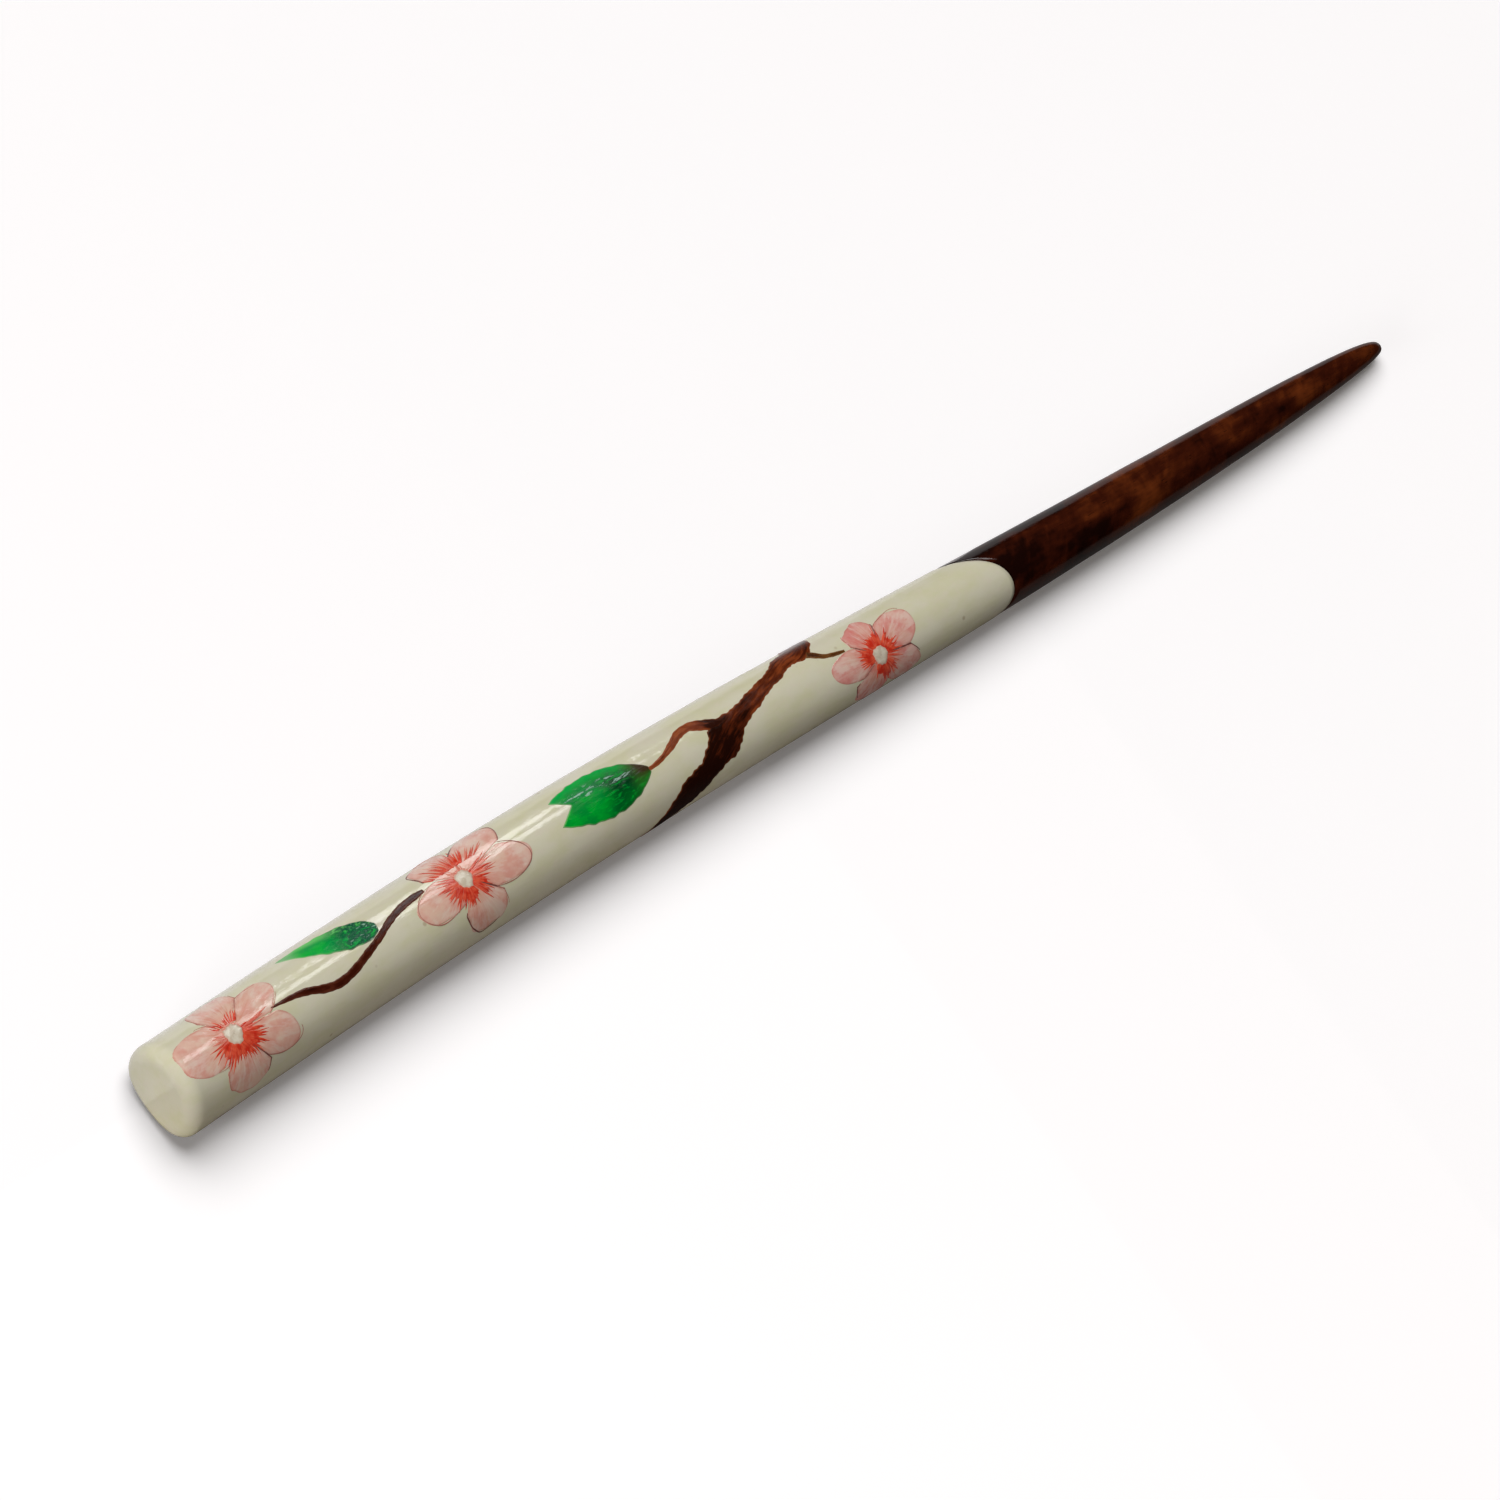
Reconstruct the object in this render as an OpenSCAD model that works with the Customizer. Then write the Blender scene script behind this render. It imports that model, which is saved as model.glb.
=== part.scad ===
// Hand painted wooden hair stick: a carved, stained core, a cream ground coat
// over the grip, and cherry blossom, leaves and a bough painted on the coat.

/* [Stick] */
// Overall length from the head to the tip
stick_length = 180; // [170:1:190]
// Full width across the head
head_width = 9.6; // [8.6:0.1:10.6]
// Full height of the head, from the flat back to the ridge
head_height = 8.5; // [7.5:0.1:9.5]
// How far the back of the section is pulled from an ellipse to a flat with rounded corners
back_flatness = 0.09; // [0:0.01:0.14]
// Height over width near the tip
tip_roundness = 0.85; // [0.8:0.05:1]
// Exponent of the taper, smaller keeps the stick thick for longer
taper = 0.35; // [0.3:0.01:0.45]
// Swelling of the middle, as a share of the width
belly = 0.08; // [0:0.01:0.15]
// Sideways bow of the stick at its middle
bow = 0.9; // [0:0.1:1.5]
// Sideways lean that moves the bow toward the head
bow_skew = 0.55; // [0:0.05:1]
// Rise of the tip above the plane of the back
tip_rise = 1; // [0:0.1:2]
// Radius of the rounded edge around the flat head end
edge_round = 1.6; // [1.2:0.1:2]

/* [Ground coat] */
// Thickness of the cream coat, primer included
coat_thickness = 0.4; // [0.3:0.05:0.6]
// Step from the coat down to the bare wood at the coat's edge
coat_step = 0.05; // [0.02:0.01:0.1]
// Mean distance of the coat's edge from the head end
coat_length = 111.7; // [110:0.1:113]
// Slant of the coat's brushed edge
coat_slant = 5; // [0:0.1:5.5]

/* [Painting] */
// Hairline between the coat and the paint laid on it
paint_lift = 0.03; // [0.03:0.01:0.05]
// Thickness of one layer of paint
paint_layer = 0.08; // [0.06:0.01:0.12]
// Gap between two petals of one blossom
petal_gap = 0.1; // [0.08:0.01:0.2]

/* [Hidden] */

// Facets around the stick, and stations along its coated, bare and rounded stretches
around = 40;
coated_stations = 20;
bare_stations = 22;
round_stations = 5;

// Angle from the ridge at which the coat reaches farthest toward the tip, and how far its
// edge wanders from an even slant
coat_slant_angle = -30;
coat_waver = 0.2;

// Where the flat of the back fades into an ellipse, as shares of the length
flatness_fade_start = 0.05;
flatness_fade_end = 0.5;

// How fast the corners beside the flat grow outward with the flatness
corner_growth = 0.6;

// The two upper paint layers, above the petals and the branches
flare_lift = paint_lift + paint_layer + 0.02;
centre_lift = flare_lift + paint_layer / 2 + 0.02;

// A place on the painting is [distance from the head end, distance around the stick from the
// ridge], both in mm, where around is positive toward +Y.

// Each blossom: its centre, the radius of its cream dot, and its petals as
// [direction, length, half width], in order of their direction
blossom_1 = [[7.7, 0.2], 1.05,
             [[-85, 6, 3.2], [-26, 7.6, 2], [20, 7.2, 1.75], [72, 5.7, 3.3], [178, 7, 2.2]]];
blossom_2 = [[39, 0.5], 1,
             [[-71, 5.8, 3.1], [-6, 8.3, 1.9], [33, 8.1, 2.1], [116, 5.5, 3.3], [190, 6.8, 1.75]]];
blossom_3 = [[96.6, -1.6], 1,
             [[-129, 5.4, 2.6], [-34, 5.9, 2.1], [22, 6.3, 2], [113, 4.3, 2.8], [175, 6.7, 1.5]]];

// Scale and exponents of a petal's rounding, which put its greatest width at half its length
petal_scale = 0.68;
petal_rounding = [2.4, 0.56];

// Gap between the dot and the petals, and how much longer than its base a petal always is
petal_base_gap = 0.15;
petal_least = 0.25;

// Reach of a blossom's red strokes past the dot, its change toward the petals' middles, and how
// much every second stroke is longer
flare_gap = 0.1;
flare_length = 1.1;
flare_wave = 0.5;
flare_tooth = 0.5;

// Unevenness of the dot's outline, as shares of its radius, and the radius of its thin middle
dab_uneven = [0.08, 0.05];
dab_middle = 0.12;

// Painted strokes, as points [along, around, half width] on their middle line
bough_path = [[62.4, -7.8, 0.5], [64.4, -6.2, 0.8], [66.4, -5, 1.2], [68.5, -3.95, 1.5],
              [70.5, -3.2, 1.25], [72.2, -2.3, 1.35], [74.4, -1.1, 1.9], [75.9, -0.35, 1.4],
              [77.7, 0.2, 0.92], [79.9, 0.8, 0.85], [82.3, 1.5, 0.72], [84.3, 2, 0.78],
              [86.3, 2.9, 1.02], [88, 3.15, 1.4], [89.2, 3.8, 1.65], [89.9, 5.1, 1.55],
              [90, 6.6, 1.3], [89.7, 8.1, 0.7]];
twig_long_path = [[14.2, 0.15, 0.17], [15.6, 0, 0.26], [17.2, -0.35, 0.34], [18.8, -0.95, 0.38],
                  [20.6, -1.3, 0.4], [22.6, -1.1, 0.38], [25, -0.45, 0.34], [27.2, 0.2, 0.3],
                  [29.2, 0.95, 0.31], [31.2, 1.45, 0.34], [33, 1.75, 0.34], [34.6, 1.9, 0.18]];
twig_short_path = [[65.2, 0.1, 0.1], [67, 0.5, 0.22], [68.5, 1, 0.32], [70, 1.6, 0.38],
                   [71.4, 1.78, 0.4], [72.7, 1.5, 0.5], [73.6, 1, 0.5]];
twig_tip_path = [[90.1, 1.85, 0.4], [90.6, 1.25, 0.3], [91.6, 0.75, 0.2], [93, 0.45, 0.1]];

// The small leaf runs from its thin tip to its stem end, with its greatest half width and how
// bluntly it ends at the stem
small_leaf_tip = [17, 4.5];
small_leaf_stem = [28, 1.1];
small_leaf_half = 1.65;
small_leaf_bluntness = 0.6;

// The large leaf: its stem end, the depth to the notch between its two lobes, how much farther
// the lobes reach, how unequal they are, its lean toward +Y, its greatest half width, how far
// from the stem it is widest, and how far it narrows again toward the lobes
large_leaf_stem = [64.8, 0.1];
large_leaf_notch = 10.5;
large_leaf_lobe = 2.2;
large_leaf_skew = 0.3;
large_leaf_lean = 0.9;
large_leaf_half = 2.65;
large_leaf_widest = 0.8;
large_leaf_narrowing = 0.82;

// Share of a leaf's length cut off where it would run to a point
leaf_end = 0.02;

wood_colour = [0.25, 0.09, 0.04];
cream_colour = [0.86, 0.85, 0.74];
petal_colour = [0.95, 0.78, 0.75];
flare_colour = [0.88, 0.3, 0.18];
leaf_colour = [0.05, 0.6, 0.25];
bark_colour = [0.32, 0.13, 0.07];

// ---- Shape of the stick ----

function smooth(t) = let(c = max(0, min(1, t))) c * c * (3 - 2 * c);

// Half width, height over width and flatness at a share u of the length
function half_width(u) = head_width / 2 * pow(1 - u, taper) * (1 + belly * sin(180 * u));
function height_ratio(u) =
    let(s = smooth(u)) head_height / head_width * (1 - s) + tip_roundness * s;
function flatness(u) = back_flatness
    * (1 - smooth((u - flatness_fade_start) / (flatness_fade_end - flatness_fade_start)));

// The flat lowers the section's height, and its corners lie a little outside the half width, so
// both half axes of the ellipse allow for it
function half_height(u) = half_width(u) * height_ratio(u) / (1 - flatness(u) / 2);
function half_across(u) = half_width(u) / (1 + corner_growth * pow(flatness(u), 2));

// Middle of the section: the bow sideways, and the height that keeps the back on one plane
// up to the middle of the stick, past which the tip rises
function middle_y(u) = bow * sin(180 * u) + bow_skew * sin(360 * u);
function middle_z(u) =
    half_height(u) * (1 - flatness(u)) + tip_rise * pow(max(0, 2 * u - 1), 2);

// Amount by which the rounded end draws the section in, for a solid that starts at start
function drawn_in(x, start, radius) =
    x - start >= radius ? 0 : radius - sqrt(pow(radius, 2) - pow(radius - x + start, 2));

// Point of the section at distance x from the head, at an angle from the ridge toward +Y,
// moved outward by off, for a solid whose rounded end starts at start
function skin(x, angle, off = 0, start = 0, radius = edge_round) =
    let(u = min(1, x / stick_length), a = half_across(u), b = half_height(u),
        k = 1 - drawn_in(x, start, radius) / (head_width / 2),
        squared = flatness(u) * (1 - cos(angle)) / 2, turned = flatness(u) * sin(angle) / 2,
        ty = a * (cos(angle) - 2 * squared * cos(2 * angle) - turned * sin(2 * angle)),
        tz = -b * (sin(angle) + 2 * squared * sin(2 * angle) - turned * cos(2 * angle)),
        n = max(norm([ty, tz]), 0.001))
    [x,
     middle_y(u) + k * a * (sin(angle) - squared * sin(2 * angle)) - off * tz / n,
     middle_z(u) + k * b * (cos(angle) + squared * cos(2 * angle)) + off * ty / n];

// Where the coat ends, at an angle around the stick
function coat_edge(angle) =
    coat_length + coat_slant * cos(angle - coat_slant_angle) + coat_waver * sin(3 * angle);

// Distances from the head, for station i of n between the rounding and the coat's edge
function coated_x(i, n, angle) = edge_round + (coat_edge(angle) - edge_round) * i / n;
function rounded_x(i, n, start) = start + (edge_round - start) * (1 - cos(90 * i / n));
function bare_x(i, n, angle) =
    coat_edge(angle) + (stick_length - coat_edge(angle)) * (1 - pow(1 - i / n, 2));

angles = [for (j = [0:around - 1]) 360 * j / around];

// Rings of the coated stretch, from the flat end to the coat's edge
function coated_rings(start, off) = concat(
    [for (i = [0:round_stations - 1])
        [for (a = angles)
            skin(rounded_x(i, round_stations, start), a, off, start, edge_round - start)]],
    [for (i = [0:coated_stations])
        [for (a = angles)
            skin(coated_x(i, coated_stations, a), a, off, start, edge_round - start)]]);

bare_rings = [for (i = [0:bare_stations - 1])
                 [for (a = angles)
                     skin(bare_x(i, bare_stations, a), a, -coat_step * (1 - i / bare_stations))]];

tip_point = [stick_length, middle_y(1), middle_z(1)];

outer_rings = coated_rings(0, 0);
inner_rings = coated_rings(coat_thickness, -coat_thickness);

// The origin lies under the middle of the stick's box, on the plane of its back
all_y = [for (ring = concat(outer_rings, bare_rings), p = ring) p.y];
all_z = [for (ring = concat(outer_rings, bare_rings), p = ring) p.z];
origin_shift = [-stick_length / 2, -(min(all_y) + max(all_y)) / 2, -min(all_z)];

// ---- Solids from rings and grids of points ----

function flatten(rows) = [for (row = rows, p = row) p];

// Triangles of a band between ring k and ring k + 1, each with n points
function band(k, n) = [for (j = [0:n - 1])
    let(a = k * n + j, b = k * n + (j + 1) % n)
    each [[a, b, b + n], [a, b + n, a + n]]];

// Tube of rings closed by a flat face at its first ring and by an apex after its last
module rings_to_apex(rings, apex) {
    n = len(rings[0]);
    last = (len(rings) - 1) * n;
    points = concat(flatten(rings), [apex]);
    faces = concat(
        [[for (j = [n - 1:-1:0]) j]],
        [for (k = [0:len(rings) - 2]) each band(k, n)],
        [for (j = [0:n - 1]) [last + j, last + (j + 1) % n, len(points) - 1]]);
    polyhedron(points, faces, convexity = 4);
}

// Shell between an outer run of rings and an inner one, with a closed end
module shell_of_rings(outer, inner) {
    n = len(outer[0]);
    reversed = [for (k = [len(inner) - 1:-1:0]) inner[k]];
    rings = concat(outer, reversed);
    last = (len(rings) - 1) * n;
    faces = concat(
        [[for (j = [n - 1:-1:0]) j]],
        [for (k = [0:len(rings) - 2]) each band(k, n)],
        [[for (j = [0:n - 1]) last + j]]);
    polyhedron(flatten(rings), faces, convexity = 6);
}

// Radius that turns a distance around the stick into an angle
function mean_radius(x) = let(u = x / stick_length) (half_across(u) + half_height(u)) / 2;

// Point on the painting at [along, around], raised by lift
function painted(place, lift) =
    skin(place.x, place.y / mean_radius(place.x) * 180 / PI, lift);

// Closed layer of paint over a grid of places, from its underside up to its thickness, with
// edges of half the thickness. A wrapped grid closes on itself along its rows.
module paint_grid(grid, lift, thickness, wrapped = false) {
    rows = len(grid);
    cols = len(grid[0]);
    count = rows * cols;
    lower = [for (row = grid, place = row) painted(place, lift)];
    upper = [for (i = [0:rows - 1], j = [0:cols - 1])
        let(rim = i == 0 || i == rows - 1 || (!wrapped && (j == 0 || j == cols - 1)))
        painted(grid[i][j], lift + thickness * (rim ? 0.5 : 1))];
    last_col = wrapped ? cols - 1 : cols - 2;
    sheet = [for (i = [0:rows - 2], j = [0:last_col])
        let(a = i * cols + j, b = i * cols + (j + 1) % cols)
        each [[a, b, b + cols], [a, b + cols, a + cols]]];
    row_rims = [for (j = [0:last_col])
        let(a = j, b = (j + 1) % cols, c = (rows - 1) * cols + a, d = (rows - 1) * cols + b)
        each [[b, a, a + count], [b, a + count, b + count],
              [c, d, d + count], [c, d + count, c + count]]];
    side_rims = wrapped ? [] : [for (i = [0:rows - 2])
        let(a = i * cols, b = a + cols, c = a + cols - 1, d = c + cols)
        each [[a, b, b + count], [a, b + count, a + count],
              [d, c, c + count], [d, c + count, d + count]]];
    faces = concat(sheet, [for (f = sheet) [f[0] + count, f[2] + count, f[1] + count]],
                   row_rims, side_rims);
    translate(origin_shift)
        polyhedron(concat(lower, upper), faces, convexity = 4);
}

// ---- Blossoms ----

function polar(centre, radius, angle) = centre + radius * [cos(angle), sin(angle)];

// Reach of a petal at an angle from its own direction
function petal_reach(petal, angle) =
    let(sideways = abs(petal_scale * petal[1] / petal[2] * tan(angle)))
    petal[1] / (cos(angle) * pow(1 + pow(sideways, petal_rounding[0]), petal_rounding[1]));

// Directions half way to the petal before and to the petal after
function side_limit(petals, i, step) =
    let(n = len(petals), other = (i + step + n) % n,
        turn = i + step < 0 ? -360 : i + step >= n ? 360 : 0)
    max(-56, min(56, (petals[other][0] + turn - petals[i][0]) / 2));

// Petal i of a blossom, as a fan from the cream dot out to the petal's outline
module petal(blossom, i) {
    centre = blossom[0];
    petals = blossom[2];
    from = side_limit(petals, i, -1);
    to = side_limit(petals, i, 1);
    base = blossom[1] + petal_base_gap;
    steps = 14;
    rows = 8;
    grid = [for (r = [0:rows])
        [for (k = [0:steps])
            let(angle = from + (to - from) * k / steps,
                reach = max(base + petal_least, petal_reach(petals[i], angle)),
                radius = base + (reach - base) * r / rows,
                side = (1 - 2 * k / steps) * petal_gap / 2)
            polar(centre, radius, petals[i][0] + angle)
                + side * [-sin(petals[i][0] + angle), cos(petals[i][0] + angle)]]];
    color(petal_colour)
        paint_grid(grid, paint_lift, paint_layer);
}

// Red strokes that spread from the dot over the petals, longest toward the petals' middles
module flare(blossom) {
    steps = 40;
    rows = 4;
    inner = blossom[1] + flare_gap;
    grid = [for (r = [0:rows])
        [for (k = [0:steps - 1])
            let(angle = 360 * k / steps,
                wave = flare_wave * sin(5 * angle + 40),
                outer = inner + flare_length + wave + flare_tooth * (k % 2))
            polar(blossom[0], inner + (outer - inner) * r / rows, angle)]];
    color(flare_colour)
        paint_grid(grid, flare_lift, paint_layer / 2, wrapped = true);
}

// Cream dot, a dab with an uneven outline
module blossom_centre(blossom) {
    steps = 20;
    rows = 3;
    grid = [for (r = [0:rows])
        [for (k = [0:steps - 1])
            let(angle = 360 * k / steps,
                uneven = dab_uneven[0] * sin(3 * angle) + dab_uneven[1] * cos(5 * angle),
                share = dab_middle + (1 - dab_middle) * r / rows)
            polar(blossom[0], blossom[1] * (1 + uneven) * share, angle)]];
    color(cream_colour)
        paint_grid(grid, centre_lift, paint_layer, wrapped = true);
}

// ---- Leaves, bough and twigs ----

// Smooth curve through points, at t from 0 to the number of points less one
function through(points, t) =
    let(n = len(points), i = min(n - 2, floor(t)), f = t - i,
        a = points[max(0, i - 1)], b = points[i], c = points[i + 1], d = points[min(n - 1, i + 2)])
    b + 0.5 * f * (c - a + f * (2 * a - 5 * b + 4 * c - d + f * (3 * (b - c) + d - a)));

// Rows of places across a stroke whose points are [along, around, half width]
function stroke_grid(path, stations, columns) =
    let(span = len(path) - 1)
    [for (i = [0:stations])
        let(t = span * i / stations, p = through(path, t),
            ahead = through(path, min(span, t + 0.05)), behind = through(path, max(0, t - 0.05)),
            run = [ahead.x - behind.x, ahead.y - behind.y],
            side = [-run.y, run.x] / norm(run))
        [for (j = [0:columns])
            [p.x, p.y] + side * p[2] * (2 * j / columns - 1)]];

module stroke(path, stations, columns) {
    color(bark_colour)
        paint_grid(stroke_grid(path, stations, columns), paint_lift, paint_layer);
}

// Width of the small leaf at a share s of its length from the thin tip
function leaf_profile(s) = s * pow(1 - s, small_leaf_bluntness);

module leaf_small() {
    stations = 16;
    columns = 8;
    run = small_leaf_stem - small_leaf_tip;
    side = [-run.y, run.x] / norm(run);
    fullest = leaf_profile(1 / (1 + small_leaf_bluntness));
    grid = [for (i = [0:stations])
        let(s = leaf_end + (1 - 2 * leaf_end) * i / stations,
            half = small_leaf_half * leaf_profile(s) / fullest)
        [for (j = [0:columns])
            small_leaf_tip + s * run + side * half * (2 * j / columns - 1)]];
    color(leaf_colour)
        paint_grid(grid, paint_lift, paint_layer);
}

module leaf_large() {
    stations = 16;
    columns = 10;
    grid = [for (i = [stations:-1:0])
        let(s = leaf_end + (1 - leaf_end) * i / stations,
            half = large_leaf_half * sin(180 * pow(s, large_leaf_widest) * large_leaf_narrowing))
        [for (j = [0:columns])
            let(t = 2 * j / columns - 1,
                reach = large_leaf_notch + large_leaf_lobe * abs(t) - large_leaf_skew * t)
            large_leaf_stem + [-s * reach, s * large_leaf_lean + half * t]]];
    color(leaf_colour)
        paint_grid(grid, paint_lift, paint_layer);
}

module bough() {
    stroke(bough_path, 52, 4);
}

module twig_long() {
    stroke(twig_long_path, 36, 2);
}

module twig_short() {
    stroke(twig_short_path, 22, 2);
}

module twig_tip() {
    stroke(twig_tip_path, 12, 2);
}

// ---- Core and coat ----

// Stained core, relieved along the grip so that the coat lies almost flush with the bare wood
module wood_shaft() {
    color(wood_colour)
        translate(origin_shift)
            rings_to_apex(concat(inner_rings, bare_rings), tip_point);
}

module cream_coat() {
    color(cream_colour)
        translate(origin_shift)
            shell_of_rings(outer_rings, inner_rings);
}

wood_shaft();
cream_coat();
petal(blossom_1, 0);  // blossom_1_petal_1
petal(blossom_1, 1);  // blossom_1_petal_2
petal(blossom_1, 2);  // blossom_1_petal_3
petal(blossom_1, 3);  // blossom_1_petal_4
petal(blossom_1, 4);  // blossom_1_petal_5
flare(blossom_1);  // blossom_1_flare
blossom_centre(blossom_1);  // blossom_1_centre
petal(blossom_2, 0);  // blossom_2_petal_1
petal(blossom_2, 1);  // blossom_2_petal_2
petal(blossom_2, 2);  // blossom_2_petal_3
petal(blossom_2, 3);  // blossom_2_petal_4
petal(blossom_2, 4);  // blossom_2_petal_5
flare(blossom_2);  // blossom_2_flare
blossom_centre(blossom_2);  // blossom_2_centre
petal(blossom_3, 0);  // blossom_3_petal_1
petal(blossom_3, 1);  // blossom_3_petal_2
petal(blossom_3, 2);  // blossom_3_petal_3
petal(blossom_3, 3);  // blossom_3_petal_4
petal(blossom_3, 4);  // blossom_3_petal_5
flare(blossom_3);  // blossom_3_flare
blossom_centre(blossom_3);  // blossom_3_centre
leaf_small();
leaf_large();
bough();
twig_long();
twig_short();
twig_tip();
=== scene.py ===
"""Looks of the hand painted hair stick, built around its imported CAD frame.

Lengths in the geometry sections are in mm, in the stick's own coordinates: x runs from the flat
head end to the tip, and z is up from the plane of the back. to_frame() turns them into metres in
the frame. A place on the painting is [distance from the head end, distance around the stick from
its ridge], where around is positive toward +Y.
"""

import math

import bpy
import numpy as np
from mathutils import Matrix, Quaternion, Vector


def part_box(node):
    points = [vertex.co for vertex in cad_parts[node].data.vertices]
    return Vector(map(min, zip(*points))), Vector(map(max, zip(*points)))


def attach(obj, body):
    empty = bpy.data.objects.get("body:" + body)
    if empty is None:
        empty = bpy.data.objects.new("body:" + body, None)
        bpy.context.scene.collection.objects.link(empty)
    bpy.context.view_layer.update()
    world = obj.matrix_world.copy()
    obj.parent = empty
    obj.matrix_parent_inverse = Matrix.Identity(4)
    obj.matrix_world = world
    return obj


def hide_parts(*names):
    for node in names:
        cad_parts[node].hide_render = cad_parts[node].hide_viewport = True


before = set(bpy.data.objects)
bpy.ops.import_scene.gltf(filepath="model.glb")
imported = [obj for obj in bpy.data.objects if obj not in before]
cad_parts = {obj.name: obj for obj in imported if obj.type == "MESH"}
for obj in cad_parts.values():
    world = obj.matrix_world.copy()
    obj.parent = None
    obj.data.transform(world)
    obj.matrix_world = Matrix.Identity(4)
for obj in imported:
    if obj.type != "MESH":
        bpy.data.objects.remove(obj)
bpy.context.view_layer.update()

MM = 0.001
rng = np.random.default_rng(7)

# ---- Driving sizes, the same as the CAD model's ----

STICK_LENGTH = 180.0
HEAD_WIDTH = 9.6
HEAD_HEIGHT = 8.5
BACK_FLATNESS = 0.09
FLATNESS_FADE_START = 0.05
FLATNESS_FADE_END = 0.5
CORNER_GROWTH = 0.6
TIP_ROUNDNESS = 0.85
TAPER = 0.35
BELLY = 0.08
BOW = 0.9
BOW_SKEW = 0.55
TIP_RISE = 1.0
EDGE_ROUND = 1.6
COAT_THICKNESS = 0.4
COAT_STEP = 0.05
COAT_LENGTH = 111.7
COAT_SLANT = 5.0
COAT_SLANT_ANGLE = math.radians(-30)
COAT_WAVE = 0.2

# Each blossom: its centre, the radius of its cream dot, and its petals as
# [direction, length, half width], in order of their direction
BLOSSOMS = {
    "blossom_1": [[7.7, 0.2], 1.05,
                  [[-85, 6, 3.2], [-26, 7.6, 2], [20, 7.2, 1.75], [72, 5.7, 3.3], [178, 7, 2.2]]],
    "blossom_2": [[39, 0.5], 1.0,
                  [[-71, 5.8, 3.1], [-6, 8.3, 1.9], [33, 8.1, 2.1], [116, 5.5, 3.3],
                   [190, 6.8, 1.75]]],
    "blossom_3": [[96.6, -1.6], 1.0,
                  [[-129, 5.4, 2.6], [-34, 5.9, 2.1], [22, 6.3, 2], [113, 4.3, 2.8],
                   [175, 6.7, 1.5]]],
}

# Tufts of a blossom's red strokes, as [direction, spread, reach, number, strength]. With a sixth
# number, fine strokes as long as reach begin on the straight line that far from the dot's middle.
FLARES = {
    "blossom_1": [[-40, 30, 4.0, 30, 1.0], [-8, 12, 3.2, 8, 0.9], [-90, 36, 2.9, 26, 1.0],
                  [-146, 24, 3.8, 16, 0.9], [180, 18, 2.9, 8, 0.4], [125, 15, 1.4, 4, 1.15, 1.05],
                  [92, 14, 0.8, 4, 0.7, 1.1], [56, 16, 1.7, 5, 1.15, 1.0], [1, 3, 5.2, 3, 0.7]],
    "blossom_2": [[-95, 36, 2.9, 30, 0.95], [-38, 20, 3.6, 14, 0.85], [5, 16, 4.3, 12, 0.7],
                  [-152, 22, 3.6, 16, 0.8], [175, 16, 3.8, 12, 0.7], [62, 11, 2.7, 10, 1.0, 1.5],
                  [36, 10, 2.4, 8, 0.6, 1.5], [90, 20, 2.7, 12, 0.75, 1.5],
                  [122, 14, 2.6, 9, 0.75, 1.5], [144, 9, 1.7, 6, 0.75, 1.5],
                  [90, 60, 2.1, 10, 0.3]],
    "blossom_3": [[95, 46, 2.5, 38, 1.0], [68, 6, 3.2, 6, 0.9], [15, 32, 3.2, 24, 1.0],
                  [165, 30, 3.2, 22, 1.0], [-95, 42, 2.6, 26, 0.95], [-86, 7, 3.6, 8, 1.0],
                  [-42, 20, 3.3, 12, 0.7]],
}

# Fine brown lines along the petals' outlines, as [petal, from, to, half width, strength], where
# 0 to 1 runs out along its first side, 1 to 2 around its end and 2 to 3 back along its other side
OUTLINES = {
    "blossom_1": [[0, 1.75, 2.75, 0.07, 0.8], [0, 0.9, 1.3, 0.05, 0.35],
                  [1, 1.05, 1.6, 0.05, 0.55], [2, 1.0, 1.35, 0.05, 0.3],
                  [2, 1.6, 2.3, 0.045, 0.35], [3, 0.45, 1.2, 0.06, 0.45],
                  [3, 1.7, 2.3, 0.05, 0.5], [4, 0.5, 1.25, 0.045, 0.3],
                  [4, 1.75, 2.5, 0.045, 0.35]],
    "blossom_2": [[0, 0.85, 1.6, 0.07, 0.9], [0, 1.75, 2.4, 0.05, 0.45],
                  [1, 0.1, 1.12, 0.08, 0.85], [1, 1.12, 1.95, 0.055, 0.6],
                  [2, 1.68, 1.98, 0.08, 0.85], [2, 1.0, 1.4, 0.06, 0.65],
                  [3, 1.62, 2.05, 0.075, 0.8], [3, 1.1, 1.5, 0.045, 0.25],
                  [4, 1.2, 2.1, 0.05, 0.45]],
    "blossom_3": [[0, 0.85, 1.3, 0.07, 0.85], [1, 1.75, 2.8, 0.075, 0.95],
                  [2, 1.5, 2.2, 0.045, 0.4], [3, 0.3, 1.1, 0.06, 0.75],
                  [3, 1.7, 2.2, 0.05, 0.4], [4, 0.3, 1.0, 0.06, 0.7],
                  [4, 1.8, 2.9, 0.06, 0.6], [2, 0.2, 0.9, 0.05, 0.6]],
}

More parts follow.
